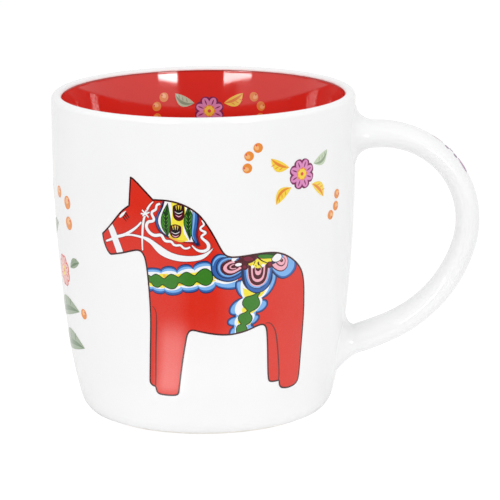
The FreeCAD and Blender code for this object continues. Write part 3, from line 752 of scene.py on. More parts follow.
    def build(self) -> list[bpy.types.Object]:
        """Builds the glazed strap, closed at both roots, and dresses it."""
        rings = self.rings()
        count, around = rings.shape[:2]
        ends = np.stack([rings[0].mean(axis=0), rings[-1].mean(axis=0)])
        points = np.vstack([rings.reshape(-1, 3), ends])
        side = grid_faces(count, around, False, True)
        i = np.arange(around)
        last = (count - 1) * around
        caps = [np.stack([i, (i + 1) % around, np.full(around, count * around)], axis=1),
                np.stack([last + (i + 1) % around, last + i, np.full(around, count * around + 1)], axis=1)]
        faces = side.tolist() + caps[0].tolist() + caps[1].tolist()
        piece = build_mesh("glazed_handle", points, faces)
        shape = bmesh.new()
        shape.from_mesh(piece.data)
        bmesh.ops.recalc_face_normals(shape, faces=shape.faces)
        shape.to_mesh(piece.data)
        shape.free()
        piece.data.materials.append(self.skin)
        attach(piece, "root")
        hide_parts("handle_glaze")
        return [piece]


# ---------------------------------------------------------------- printed colours

class Ink(Enum):
    """The colours of the transfers, as fired."""

    RED = "da270f"
    LEG_LINE = "6a1210"
    OUTLINE = "3e0508"
    STRAP_EDGE = "8c0f14"
    WHITE = "f2f2f4"
    BLUSH = "f3aebd"
    NAVY = "0f2350"
    BLUE = "2f63ad"
    SKY = "79b1ea"
    GREEN = "377d1c"
    LEAF_DARK = "123d10"
    LEAF_LIGHT = "6fa746"
    YELLOW = "f2e23c"
    GOLD = "efb640"
    MAROON = "4c0416"
    PLUM = "7a1030"
    BLACK = "140a0c"
    ORANGE = "e98c36"
    APRICOT = "f4b878"
    LILAC = "b079a3"
    VIOLET = "6f3a72"
    LEMON = "f6d548"
    SAGE = "8fa184"
    MOSS = "5d7b53"
    CORAL = "dc5746"
    PURPLE = "7d2358"
    PINK = "dd8cc0"
    PALE_PINK = "f0b9b2"
    MIST = "c5d3b6"


@dataclass(frozen=True)
class FiredInk:
    """Ceramic stain in clear flux, screen printed and fired into the glaze.

    It gives a flat, strong, shiny colour that sinks slightly unevenly into the glaze, in clouds of about 6 mm
    and in grains of the screen, drawn at 0.45 mm so that they show. The weakest parts go a little towards a
    mid tone.
    """

    ink: Ink
    cloud_mm: float = 6.0
    grain_mm: float = 0.45
    weak_range: tuple[float, float] = (0.05, 0.45)
    weak_share: float = 0.015
    mid_tone: float = 0.72
    roughness: float = 0.1
    ior: float = 1.75
    wave: tuple[float, float, float] = (7.0, 0.012, 0.3)

    def build(self) -> bpy.types.Material:
        """Builds the material."""
        material, tree = new_material(f"fired_ink_{self.ink.name.lower()}")
        strong = linear(self.ink.value)
        thin = (*(part + (self.mid_tone - part) * self.weak_share for part in strong[:3]), 1.0)
        place = add_node(tree, "ShaderNodeTexCoord").outputs["Object"]
        cloud = add_node(tree, "ShaderNodeTexNoise", {
            "Vector": place, "Scale": 1000 / self.cloud_mm, "Detail": 3.0})
        grain = add_node(tree, "ShaderNodeTexVoronoi", {"Vector": place, "Scale": 1000 / self.grain_mm})
        weak = add_node(tree, "ShaderNodeMath", {0: cloud, 1: grain}, operation="MULTIPLY")
        low, high = self.weak_range
        share = add_node(tree, "ShaderNodeMapRange", {"Value": weak, 1: low, 2: high})
        colour = add_node(tree, "ShaderNodeMix", {0: share, 6: strong, 7: thin}, data_type="RGBA")
        end_surface(tree, place, colour, self.roughness, self.ior, self.wave)
        return material


# ---------------------------------------------------------------- flat artwork, in millimetres across and up

def turned(points: np.ndarray, u: float, v: float, angle: float) -> np.ndarray:
    """Turns points by an angle in degrees, then moves them to u and v."""
    cosine, sine = math.cos(math.radians(angle)), math.sin(math.radians(angle))
    return np.asarray(points) @ np.array([[cosine, sine], [-sine, cosine]]) + (u, v)


def oval(u: float, v: float, wide: float, high: float | None = None, angle: float = 0.0) -> np.ndarray:
    """An ellipse round u and v, (wide cos t, high sin t) with half sizes wide and high, at an angle."""
    high = wide if high is None else high
    t = np.linspace(0, 2 * math.pi, max(int(9 * math.sqrt(max(wide, high))) + 7, 12), endpoint=False)
    return turned(np.stack([wide * np.cos(t), high * np.sin(t)], axis=1), u, v, angle)


def leaf(u: float, v: float, length: float, width: float, angle: float, bow: float = 0.0) -> np.ndarray:
    """A pointed leaf from its base at u and v.

    At a share t of its length, its edges lie 4 t (1 - t) times its bow plus and minus half its width off its
    axis.
    """
    t = np.linspace(0, 1, max(int(length / 0.7), 8))
    swell = 4 * t * (1 - t)
    upper = np.stack([t * length, swell * (bow + width / 2)], axis=1)
    lower = np.stack([t * length, swell * (bow - width / 2)], axis=1)
    return turned(np.vstack([upper, lower[-2:0:-1]]), u, v, angle)


def rosette(u: float, v: float, radius: float, petals: int, notch: float = 0.14,
            angle: float = 0.0) -> np.ndarray:
    """A round flower: its radius dips by the notch between petals, as sqrt(|sin(petals t / 2)|)."""
    t = np.linspace(0, 2 * math.pi, petals * 8, endpoint=False)
    reach = radius * (1 - notch + notch * np.sqrt(np.abs(np.sin(petals * t / 2))))
    return turned(np.stack([reach * np.cos(t), reach * np.sin(t)], axis=1), u, v, angle)


def strokes(*lines: list[tuple[float, float]]) -> np.ndarray:
    """A closed loop of smooth lines that meet at corners: each starts where the one before it ends."""
    return np.vstack([smooth_line([lines[i - 1][-1]] + line)[:-1] for i, line in enumerate(lines)])


def blob(*points: tuple[float, float]) -> np.ndarray:
    """A smooth closed loop through points."""
    return smooth_line(list(points), closed=True, step=0.3)


def between(upper: list[tuple[float, float]], lower: list[tuple[float, float]]) -> np.ndarray:
    """The loop between two smooth lines that run the same way."""
    return np.vstack([smooth_line(upper), smooth_line(lower)[::-1]])


def ribbon(points: list[tuple[float, float]], *widths: float) -> np.ndarray:
    """A stroke along a smooth line, with its width spread evenly over the widths from end to end."""
    line = smooth_line(points, step=0.3)
    way = np.gradient(line, axis=0)
    side = np.stack([-way[:, 1], way[:, 0]], axis=1) / np.linalg.norm(way, axis=1, keepdims=True)
    half = np.interp(np.linspace(0, 1, len(line)), np.linspace(0, 1, len(widths)), widths)[:, None] / 2
    return np.vstack([line + side * half, (line - side * half)[::-1]])


def scallops(*points: tuple[float, float]) -> np.ndarray:
    """A row of round arcs through points: a corner, the middle of an arc, the next corner and so on."""
    rows = [round_arc(*(np.array(point) for point in points[i:i + 3])) for i in range(0, len(points) - 2, 2)]
    return np.vstack([row[:-1] for row in rows] + [rows[-1][-1:]])


def round_arc(start: np.ndarray, top: np.ndarray, end: np.ndarray, steps: int = 14) -> np.ndarray:
    """A part of an ellipse from a corner over a top to the next corner.

    Each point is middle + cos(t) * half + sin(t) * rise, with t from pi to 0.

    Args:
        start: The first corner.
        top: The furthest point of the arc from the line between the corners.
        end: The last corner.
        steps: How many sides the arc gets.

    Returns:
        The points of the arc.
    """
    middle, half = (start + end) / 2, (end - start) / 2
    turn = np.linspace(math.pi, 0, steps + 1)[:, None]
    return middle + np.cos(turn) * half + np.sin(turn) * (top - middle)


def anticlockwise(loop: np.ndarray) -> np.ndarray:
    """The loop run anticlockwise, where the area that its sides sweep round the origin is positive."""
    beside = np.roll(loop, -1, axis=0)
    return loop if (loop[:, 0] * beside[:, 1] - beside[:, 0] * loop[:, 1]).sum() > 0 else loop[::-1]


def grown(loop: np.ndarray, by: float) -> np.ndarray:
    """The loop moved out by a distance, or in by a negative one: each side's ends move along its normal."""
    loop = anticlockwise(loop)
    ahead = np.roll(loop, -1, axis=0) - loop
    ahead /= np.maximum(np.linalg.norm(ahead, axis=1, keepdims=True), 1e-9)
    out = np.stack([ahead[:, 1], -ahead[:, 0]], axis=1) * by
    return np.stack([loop + np.roll(out, 1, axis=0), loop + out], axis=1).reshape(-1, 2)


@dataclass
class Drawing:
    """Flat artwork as patches of ink, each over the ones before it, inside a silhouette where it has one."""

    silhouette: np.ndarray | None = None
    patches: list[tuple[np.ndarray, Ink]] = field(default_factory=list)

    def lay(self, ink: Ink, *loops: np.ndarray) -> Drawing:
        """Lays loops down in an ink."""
        self.patches += [(anticlockwise(loop), ink) for loop in loops]
        return self

    def edged(self, ink: Ink, edge: Ink, width: float, *loops: np.ndarray) -> Drawing:
        """Lays loops down in an ink, all over their own edges in another ink."""
        first = len(self.patches)
        self.lay(ink, *loops)
        made = self.patches[first:]
        self.patches[first:] = [(grown(loop, width), edge) for loop, _ in made] + made
        return self

    @staticmethod
    def covers(loop: np.ndarray, points: np.ndarray) -> np.ndarray:
        """Which points a loop goes round: those with more sides passing up on their right than down."""
        found = np.zeros(len(points), dtype=bool)
        near = np.flatnonzero(((points > loop.min(axis=0)) & (points < loop.max(axis=0))).all(axis=1))
        if len(near):
            x, y = points[near, :1], points[near, 1:]
            ax, ay = loop[:, 0], loop[:, 1]
            bx, by = np.roll(ax, -1), np.roll(ay, -1)
            side = (bx - ax) * (y - ay) - (x - ax) * (by - ay)
            up = (ay <= y) & (by > y) & (side > 0)
            down = (ay > y) & (by <= y) & (side < 0)
            found[near] = up.sum(axis=1) > down.sum(axis=1)
        return found

    def triangles(self, spacing: float = 1.8) -> tuple[np.ndarray, np.ndarray, list[Ink]]:
        """Divides the artwork into triangles that follow every edge of every patch.

        A constrained Delaunay division runs through all the loops and a grid of points inside, and each
        triangle takes the ink of the topmost patch round its middle.

        Args:
            spacing: The grid's spacing.

        Returns:
            The points, the triangles as point numbers, and each triangle's ink.
        """
        loops = [loop for loop, _ in self.patches] + ([] if self.silhouette is None else [self.silhouette])
        low, high = np.vstack(loops).min(axis=0), np.vstack(loops).max(axis=0)
        u, v = np.meshgrid(np.arange(low[0], high[0], spacing), np.arange(low[1], high[1], spacing))
        grid = np.stack([u.ravel(), v.ravel()], axis=1)
        starts = np.cumsum([0] + [len(loop) for loop in loops])
        sides = [np.stack([np.arange(len(loop)), np.roll(np.arange(len(loop)), -1)], axis=1) + start
                 for loop, start in zip(loops, starts)]
        given = np.vstack(loops + [grid])
        points, _, faces, *_ = delaunay_2d_cdt(
            [Vector(point) for point in given.tolist()], np.vstack(sides).tolist(), [], 0, 1e-4, False)
        points, faces = np.array([tuple(point) for point in points]), np.array(faces)
        middles = points[faces].mean(axis=1)
        top = np.full(len(faces), -1)
        for number, (loop, _) in enumerate(self.patches):
            top[self.covers(loop, middles)] = number
        if self.silhouette is not None:
            top[~self.covers(self.silhouette, middles)] = -1
        kept = np.flatnonzero(top >= 0)
        used, faces = np.unique(faces[kept], return_inverse=True)
        return points[used], faces.reshape(-1, 3), [self.patches[number][1] for number in top[kept]]


# ---------------------------------------------------------------- where the artwork lies

@dataclass
class OutsideWall:
    """The wall's outside, printed from a direction: u goes round it and v up it from a height."""

    outline: CupOutline
    azimuth: float = 0.0
    height: float = 0.0
    mirrored: bool = False

    def place(self, flat: np.ndarray, lift: float) -> tuple[np.ndarray, np.ndarray]:
        """Wraps flat points on the wall.

        A point turns round the axis by u / R, with R the rim's radius, goes up by v and out to the glazed
        wall, so that the artwork narrows with the wall. All of it then turns to the azimuth.

        Args:
            flat: Points (u, v).
            lift: How far outside the glaze they lie.

        Returns:
            The points and the wall's normals there.
        """
        o = self.outline
        rim = o.rim_radius + o.glaze
        z = self.height + flat[:, 1]
        radius = o.outer_radius(z) + lift
        across, ahead = np.sin(flat[:, 0] / rim), -np.cos(flat[:, 0] / rim)
        return self.finish(np.stack([radius * across, radius * ahead, z], axis=1),
                           np.stack([across, ahead, -o.outer_slope(z)], axis=1))

    def finish(self, points: np.ndarray, normals: np.ndarray) -> tuple[np.ndarray, np.ndarray]:
        """Turns points and normals to the azimuth, mirrors them where asked and sets the normals' length."""
        angle = math.radians(self.azimuth)
        turn = np.array([
            [math.cos(angle), math.sin(angle), 0], [-math.sin(angle), math.cos(angle), 0], [0, 0, 1]])
        side = (1, -1 if self.mirrored else 1, 1)
        normals = (normals @ turn) * side
        return (points @ turn) * side, normals / np.linalg.norm(normals, axis=1, keepdims=True)


@dataclass
class InsideWall(OutsideWall):
    """The lining's face, seen from the mug's axis."""

    def place(self, flat: np.ndarray, lift: float) -> tuple[np.ndarray, np.ndarray]:
        """Wraps flat points as OutsideWall does, with the cavity's radius, and with normals to the axis."""
        o = self.outline
        rim = o.rim_radius - o.wall - o.glaze
        z = self.height + flat[:, 1]
        radius = o.inner_radius(z) - lift
        slope = o.inner_radius(z + 0.5) - o.inner_radius(z - 0.5)
        x = rim * np.sin(flat[:, 0] / rim)
        y = -np.sqrt(radius ** 2 - x ** 2)
        return self.finish(np.stack([x, y, z], axis=1), -np.stack([x / radius, y / radius, -slope], axis=1))


@dataclass
class HandleTop:
    """The outer face of the handle's upper bend: u goes down it from a turn of the bend, and v across."""

    handle: Handle
    turn: float = 46.0
    edge_share: float = 0.98

    def place(self, flat: np.ndarray, lift: float) -> tuple[np.ndarray, np.ndarray]:
        """Wraps flat points on the strap's oval.

        A point goes along the bend by asin(u / outer radius), across by v, and out by the oval's half
        thickness times sqrt(1 - (v / half width)^2).

        Args:
            flat: Points (u, v).
            lift: How far outside the glaze they lie.

        Returns:
            The points and the strap's normals there.
        """
        h = self.handle
        thick, wide = h.section(h.upper_arc * math.radians(self.turn) + h.reach - h.upper_arc)
        out = h.upper_arc + thick
        angle = math.radians(self.turn) + np.arcsin(flat[:, 0] / out)
        across = np.clip(flat[:, 1] / wide, -self.edge_share, self.edge_share)
        rise = h.upper_arc + thick * np.sqrt(1 - across ** 2) + lift
        centre = (h.outline.rim_radius + h.reach - h.upper_arc,
                  h.outline.cup_height - h.top_drop - h.upper_arc)
        points = np.stack([centre[0] + rise * np.sin(angle), flat[:, 1] * (1 + lift / wide),
                           centre[1] + rise * np.cos(angle)], axis=1)
        outward, sideways = np.sqrt(1 - across ** 2) / thick, across / wide
        normals = np.stack([outward * np.sin(angle), sideways, outward * np.cos(angle)], axis=1)
        return points, normals / np.linalg.norm(normals, axis=1, keepdims=True)


@dataclass
class Transfer:
    """A printed transfer: a closed skin of ink, with one material for each colour, laid on a surface."""

    name: str
    node: str
    drawing: Drawing
    surface: OutsideWall | HandleTop
    slot: str
    lift: float = 0.07
    sink: float = 0.01

    def build(self, inks: dict[Ink, bpy.types.Material]) -> bpy.types.Object:
        """Builds the skin: the artwork's triangles on top, the same turned over below, and a rim between.

        Args:
            inks: The material of each ink.

        Returns:
            The transfer.
        """
        flat, faces, colours = self.drawing.triangles()
        upper, normals = self.surface.place(flat, self.lift)
        lower, _ = self.surface.place(flat, -self.sink)
        span = upper[faces]
        facing = np.cross(span[:, 1] - span[:, 0], span[:, 2] - span[:, 0])
        away = (facing * normals[faces[:, 0]]).sum(axis=1) < 0
        faces[away] = faces[away][:, ::-1]
        sides = np.stack([faces, np.roll(faces, -1, axis=1)], axis=2).reshape(-1, 2)
        key, other = sides[:, 0] * len(flat) + sides[:, 1], sides[:, 1] * len(flat) + sides[:, 0]
        border = np.flatnonzero(~np.isin(key, other))
        start, end = sides[border, 0], sides[border, 1]
        below = faces[:, ::-1] + len(flat)
        rim_a = np.stack([start, start + len(flat), end + len(flat)], axis=1)
        rim_b = np.stack([start, end + len(flat), end], axis=1)
        piece = build_mesh(self.name, np.vstack([upper, lower]), np.vstack([faces, below, rim_a, rim_b]))
        palette = list(dict.fromkeys(colours))
        for ink in palette:
            piece.data.materials.append(inks[ink])
        slots = np.array([palette.index(ink) for ink in colours])
        slots = np.concatenate([slots, slots, slots[border // 3], slots[border // 3]])
        piece.data.polygons.foreach_set("material_index", slots.astype(np.int32))
        flat_rim = np.zeros((len(border) * 6, 3))
        piece.data.normals_split_custom_set(
            np.vstack([normals[faces.ravel()], -normals[below.ravel() - len(flat)], flat_rim]).tolist())
        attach(piece, "root")
        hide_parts(self.node)
        return piece


# ---------------------------------------------------------------- the printed horse

class DalaHorse:
    """The traditional red horse with its painted harness, saddle of kurbits flowers and white bridle."""

    line_width = 0.46
    silhouette = anticlockwise(strokes(
        [(-18.9, 74.5)], [(-18.3, 74.4), (-12.2, 68.8)],
        [(-8.0, 68.7), (-3.5, 67.5), (0.1, 65.2), (2.1, 62.8), (3.8, 60.1), (5.2, 57.5), (6.5, 55.0),
         (7.7, 53.5), (9.4, 52.95), (14.0, 53.15), (18.5, 53.4), (23.5, 52.8), (28.3, 50.1), (31.4, 46.1),
         (32.5, 40.0), (32.8, 34.0), (32.8, 28.0), (32.8, 22.0), (32.9, 17.5), (32.8, 15.4), (32.1, 14.0),
         (29.4, 13.1), (26.4, 13.4), (25.4, 14.2), (25.0, 15.7)],
        [(22.5, 15.7), (21.5, 16.1), (21.0, 17.4), (20.6, 21.0), (20.3, 25.2), (19.9, 29.6), (19.4, 32.0),
         (18.6, 32.7), (16.9, 32.5), (14.0, 31.5), (9.0, 30.6), (4.0, 30.9), (-0.6, 31.8), (-2.4, 32.0),
         (-3.3, 31.1), (-3.9, 28.9), (-4.8, 24.5), (-5.9, 18.4), (-6.5, 14.9), (-6.8, 13.7), (-7.6, 13.05),
         (-11.0, 12.85), (-13.2, 13.1), (-14.0, 13.7), (-14.35, 15.2)],
        [(-15.4, 15.6), (-16.0, 16.3), (-16.05, 17.4), (-15.6, 22.0), (-15.1, 27.5), (-14.5, 36.0),
         (-14.6, 45.0), (-15.2, 51.5), (-15.9, 53.3), (-17.0, 54.0), (-21.0, 53.1), (-25.2, 52.1),
         (-26.6, 52.1), (-28.4, 54.8), (-29.0, 57.7)], [(-25.6, 60.9), (-22.2, 64.6), (-19.6, 66.6)]))

    def drawing(self) -> Drawing:
        """Paints the horse from the ground colour up, and inks its outline last."""
        art = Drawing(self.silhouette)
        art.lay(Ink.RED, self.silhouette)
        self.legs(art)
        self.mane(art)
        self.bridle(art)
        self.chest_band(art)
        self.girth(art)
        self.saddle(art)
        line = np.vstack([self.silhouette, self.silhouette[:1]])
        inner = grown(self.silhouette, -self.line_width)[::-1]
        art.patches.append((np.vstack([line, inner, inner[:1]]), Ink.OUTLINE))
        return art

    def legs(self, art: Drawing) -> None:
        """The lines that part the near legs from the body."""
        art.lay(Ink.LEG_LINE,
                ribbon([(-13.5, 38.7), (-12.75, 37.7), (-12.5, 35.5), (-12.9, 30), (-13.4, 24), (-13.9, 18),
                        (-14.2, 15.6)], 0.2, 0.46, 0.46, 0.4),
                ribbon([(19.4, 33.2), (20.5, 33.2), (21.8, 32.2), (22.8, 30.3), (23.6, 26.8), (24.5, 21),
                        (24.9, 17.5), (24.9, 15.9)], 0.2, 0.46, 0.46, 0.4))

    def bridle(self, art: Drawing) -> None:
        """The eye, the white straps round the head and the long rein under the mane."""
        art.lay(Ink.OUTLINE, *(
            ribbon([(-21.75 + i * 0.52, 63.55 + i * 0.5), (-20.35 + i * 0.46, 62.0 + i * 0.5)], 0.5, 0.24)
            for i in range(3)))
        art.edged(Ink.WHITE, Ink.STRAP_EDGE, 0.1, strokes(
            [(-22.3, 63.65), (-21.4, 64.4), (-20.3, 65.0)], [(-20.9, 64.1), (-21.7, 63.2), (-22.4, 62.75)],
            [(-22.75, 63.0)]))
        art.edged(Ink.WHITE, Ink.STRAP_EDGE, 0.2,
                  strokes([(-26.2, 58.4), (-25.4, 56.4), (-24.6, 54.3), (-23.8, 52.2)], [(-21.7, 52.4)],
                          [(-22.4, 54.6), (-23.3, 56.8), (-24.2, 59.2), (-25.2, 60.9)], [(-26.9, 59.9)]),
                  ribbon([(-27.6, 55.7), (-25.8, 56.4), (-23.7, 57.35), (-21.4, 58.1), (-19.3, 59.25),
                          (-17.4, 60.6), (-15.8, 62.2)], 0.5, 0.75, 0.85, 0.8, 0.65, 0.45),
                  ribbon([(-22.6, 57.6), (-21, 58.05), (-19, 58.35), (-16.5, 58.1), (-14.6, 57.8)], 0.25, 0.5,
                         0.62, 0.72),
                  strokes([(-14, 58), (-12, 56.9), (-10, 55.6), (-8, 54.4), (-5, 53.5), (-2, 53.3), (0, 53.5),
                           (2, 54.15), (4.1, 55.5)],
                          [(3.6, 54.7), (2, 53), (0, 52.1), (-3, 51.75), (-6, 51.9), (-9, 52.7), (-11, 53.8),
                           (-12.3, 55.1), (-13.5, 56.4), (-15.2, 57.4)], [(-15.2, 58.15)]),
                  ribbon([(-12.15, 68.1), (-13.3, 66.9), (-14.2, 65.3), (-14.8, 63.8), (-15.3, 61.8),
                          (-15.6, 59), (-15.75, 56.6), (-15.75, 54.3)], 0.3, 0.62, 0.6, 0.66, 0.62, 0.5, 0.4))
        art.edged(Ink.WHITE, Ink.STRAP_EDGE, 0.14,
                  ribbon([(-15.9, 64.6), (-14.9, 64.5), (-13.3, 65.1)], 0.35, 0.5, 0.35),
                  ribbon([(-15.5, 65.6), (-14.6, 64.7), (-13.6, 63.6)], 0.35, 0.5, 0.35),
                  ribbon([(-15.4, 63.9), (-14.6, 64.7), (-14.2, 65.7)], 0.3, 0.5, 0.35))

    def mane(self, art: Drawing) -> None:
        """The framed panel of the mane: blue bands, veined leaves, two cup flowers and a white wavy cord."""
        art.lay(Ink.STRAP_EDGE, strokes(
            [(-10.2, 66.6), (-11.3, 64.6), (-11.85, 62.8), (-11.45, 60.9), (-10.3, 59.3), (-8.2, 58.15)],
            [(-6, 57.35), (-3.5, 56.9), (-1.5, 56.6), (-0.2, 55.9), (0.7, 56.2)],
            [(0.25, 58), (0.1, 60), (0.5, 63), (0.3, 65.6)], [(-4, 70), (-9.2, 69)]))
        edge = smooth_line([
            (-9.4, 69), (-10, 66.5), (-11, 64.5), (-11.6, 62.8), (-11.2, 61), (-10.1, 59.5), (-8.2, 58.3)])
        back = smooth_line([(-8.2, 58.3), (-4, 60), (-2, 64), (-6, 69)])
        art.lay(Ink.NAVY, np.vstack([edge[:-1], back[:-1]]))
        art.lay(Ink.BLUE, ribbon(
            [(-9.9, 66.6), (-11.0, 64.3), (-11.25, 62.6), (-10.9, 61.1), (-9.9, 59.7)], 0.1, 0.35, 0.35, 0.1))
        art.lay(Ink.WHITE, strokes(
            [(-9.3, 67), (-10.3, 64.9), (-10.9, 63), (-10.6, 61.5), (-9.7, 59.9), (-8.1, 58.75)],
            [(-6, 57.6), (-3.5, 57.3), (-1.3, 57.3)], [(-1.5, 59.5), (-1.0, 62), (-1.2, 66.5)],
            [(-4, 70), (-8.85, 69)]))
        art.lay(Ink.YELLOW, strokes(
            [(-6.9, 66), (-7.2, 63), (-7.6, 60), (-8.0, 58.7)], [(-5, 57.2), (-2.6, 57.7)],
            [(-3.9, 60), (-3.7, 63), (-3.2, 65.5), (-3.8, 68)], [(-5.5, 69), (-7.3, 68.2)]))
        art.lay(Ink.GOLD, ribbon([(-7.9, 58.6), (-5.8, 57.65), (-3.6, 57.5)], 0.5, 0.5, 0.2))
        for tip, base, left, right in (
                ((-8.1, 67.9), (-8.3, 58.7), -10.15, -7.35), ((-2.6, 66.9), (-2.2, 57.7), -3.85, -1.25)):
            middle = (left + right) / 2
            outline = strokes(
                [(left + 0.55, 65.2), (left, 62.8), (left + 0.45, 60.6), base],
                [(right - 0.2, 60.6), (right, 62.8), (right - 0.3, 65.2), tip])
            art.edged(Ink.GREEN, Ink.LEAF_DARK, 0.22, grown(outline, -0.18))
            art.lay(Ink.LEAF_DARK,
                    ribbon([tip, (middle + 0.1, 64), (middle, 61.5), base], 0.2, 0.95, 0.95, 0.2),
                    *(leaf(middle, 60.2 + i * 1.05, 1.35, 0.56, 58 if side > 0 else 122, 0.1 * side)
                      for i in range(5) for side in (-1, 1)))
            art.lay(Ink.LEAF_LIGHT, *(
                leaf(middle + 0.15 * side, 60.7 + i * 1.05, 0.95, 0.16, 58 if side > 0 else 122)
                for i in range(4) for side in (-1, 1)))
        art.lay(Ink.NAVY, strokes(
            [(-1.45, 64), (-1.75, 62), (-1.85, 60), (-1.8, 58.8), (-1.3, 57.3), (-0.3, 56.1)], [(0.5, 56.4)],
            [(0.1, 57.2), (-0.3, 58.2), (-0.35, 60), (0.25, 63), (0.3, 65.2)], [(-1.5, 66.8)]))
        art.lay(Ink.BLUE, ribbon(
            [(-0.6, 65.6), (-0.75, 62.4), (-1.1, 60), (-1.05, 58.7), (-0.45, 57.0)], 0.9, 1.1, 1.05, 0.9,
            0.45))
        art.lay(Ink.SKY, ribbon(
            [(-1.0, 65.9), (-1.15, 62.6), (-1.5, 60), (-1.45, 58.9), (-1.0, 57.7)], 0.6, 0.6, 0.42, 0.3, 0.1))
        for u, top, low, half in ((-5.15, 67.7, 63.0, 1.62), (-6.15, 62.1, 58.2, 1.68)):
            self.cup_flower(art, u, top, low, half)
        cord = [(-10.2, 67.6), (-11.2, 67.1), (-11.5, 66.0), (-12.5, 65.3), (-12.6, 64.4), (-12.1, 63.3),
                (-12.5, 62.7), (-13.7, 62.4), (-14.35, 61.2), (-14.0, 60.1), (-13, 59.1), (-11.6, 58.75),
                (-10.2, 58.9), (-9.5, 57.9), (-8.7, 57.3), (-7.4, 57.2), (-6.8, 56.5), (-5.8, 56.2),
                (-4.8, 56.25), (-4.1, 55.6), (-3.2, 55.4), (-2.2, 55.8)]
        tail = [(-1.7, 56.3), (-0.4, 55.05), (1.2, 54.65), (2.5, 55.1), (2.85, 56.1), (2.3, 57.2),
                (1.2, 58.2), (1.0, 58.9), (2.1, 59.8), (0.8, 60.6), (0.9, 61.4), (1.6, 62.0), (1.1, 63.3)]
        art.edged(Ink.WHITE, Ink.STRAP_EDGE, 0.18, ribbon(cord, 0.62, 0.7, 0.85, 0.9, 0.8, 0.62, 0.5),
                  ribbon(tail, 0.3, 0.8, 0.95, 0.6, 0.6, 0.45))

    def cup_flower(self, art: Drawing, u: float, top: float, low: float, half: float) -> None:
        """A maroon cup with a pale lip and dark stamens."""
        wide = half * 0.97
        art.lay(Ink.MAROON, strokes(
            [(u - wide, low + 1.5), (u - half * 0.6, low + 0.35), (u, low), (u + half * 0.6, low + 0.35),
             (u + wide, low + 1.5), (u + wide, top - 0.6)], [(u, top), (u - wide, top - 0.6)]))
        art.lay(Ink.GOLD, oval(u, top - 0.85, half * 0.5, 0.5))
        art.lay(Ink.BLACK,
                *(leaf(u + shift, top - 2.1, 1.9, 0.46, 90 - shift * 14)
                  for shift in (-0.8, -0.28, 0.28, 0.8)), oval(u, top - 2.0, half * 0.66, 0.5))
        art.lay(Ink.YELLOW, *(
            leaf(u + shift, top - 1.7, 1.5, 0.16, 90 - shift * 14) for shift in (-0.54, 0.0, 0.54)))
        lip = top - 2.15
        art.lay(Ink.WHITE, between(
            [(u - half * 0.66, lip + 0.1), (u, lip - 0.38), (u + half * 0.66, lip + 0.15)],
            [(u - half * 0.66, lip), (u, lip - 0.58), (u + half * 0.66, lip)]))
        art.lay(Ink.BLACK, oval(u, lip - 0.75, half * 0.5, 0.2))
        art.lay(Ink.BLUSH, between(
            [(u - half * 0.52, lip - 0.8), (u, lip - 1.18), (u + half * 0.52, lip - 0.8)],
            [(u - half * 0.52, lip - 0.95), (u, lip - 1.48), (u + half * 0.52, lip - 0.95)]))

    def chest_band(self, art: Drawing) -> None:
        """The scalloped band across the chest, blue to white to a chain of green balls."""
        for ink, upper, lower in (
                (Ink.NAVY,
                 ((-15.6, 49.0), (-12.4, 49.75), (-10.6, 48.9), (-8.4, 50.45), (-6.0, 49.2), (-3.9, 51.05),
                  (-1.6, 49.9), (0.8, 51.95), (3.4, 50.9), (6, 52), (9, 51)),
                 ((-15.6, 43.0), (-14.3, 42.7), (-13.2, 43.15), (-11.3, 42.2), (-9.6, 43.0), (-7.2, 42.0),
                  (-4.4, 43.4), (-2.2, 42.9), (0, 44.0), (2.6, 42.8), (4.6, 45.0), (8, 43.6), (10.9, 44.3))),
                (Ink.BLUE,
                 ((-15.6, 48.6), (-12.4, 49.45), (-10.6, 48.55), (-8.4, 50.12), (-6.0, 48.85), (-3.9, 50.75),
                  (-1.6, 49.55), (0.8, 51.62), (3.5, 50.5), (6, 51.6), (9, 50.6)),
                 ((-15.6, 43.3), (-14.3, 43.0), (-13.2, 43.45), (-11.3, 42.5), (-9.6, 43.3), (-7.2, 42.3),
                  (-4.4, 43.7), (-2.2, 43.2), (0, 44.3), (2.6, 43.1), (4.6, 45.3), (8, 43.9), (10.9, 44.6))),
                (Ink.SKY,
                 ((-15.6, 48.3), (-12.3, 49.1), (-10.6, 48.1), (-8.3, 49.7), (-6.0, 48.35), (-3.7, 50.3),
                  (-1.5, 49.2), (0.9, 51.2), (3.6, 50.2), (6, 51.2), (9, 50.2)),
                 ((-15.6, 43.9), (-14.2, 43.6), (-13.1, 43.9), (-11.3, 43.1), (-9.6, 43.75), (-7.2, 42.9),
                  (-4.6, 44.1), (-2.3, 43.7), (-0.1, 44.7), (2.6, 43.7), (4.6, 45.6), (8, 44.25),
                  (10.9, 45.1))),
                (Ink.WHITE,
                 ((-15.6, 47.9), (-12.3, 48.5), (-10.7, 47.9), (-8.2, 49.0), (-6.0, 48.2), (-3.2, 49.7),
                  (-1.2, 49.0), (1.5, 50.5), (3.8, 49.7), (6, 50.4), (9, 49.6)),
                 ((-15.6, 44.5), (-14.2, 44.2), (-13.0, 44.35), (-11.3, 43.75), (-9.7, 44.2), (-7.3, 43.55),
                  (-5.0, 44.85), (-2.8, 44.35), (-0.2, 45.2), (2.2, 44.6), (4.4, 46.1), (8, 45.6),
                  (10.9, 46.3)))):
            art.lay(ink, np.vstack([scallops(*upper), scallops(*lower)[::-1]]))
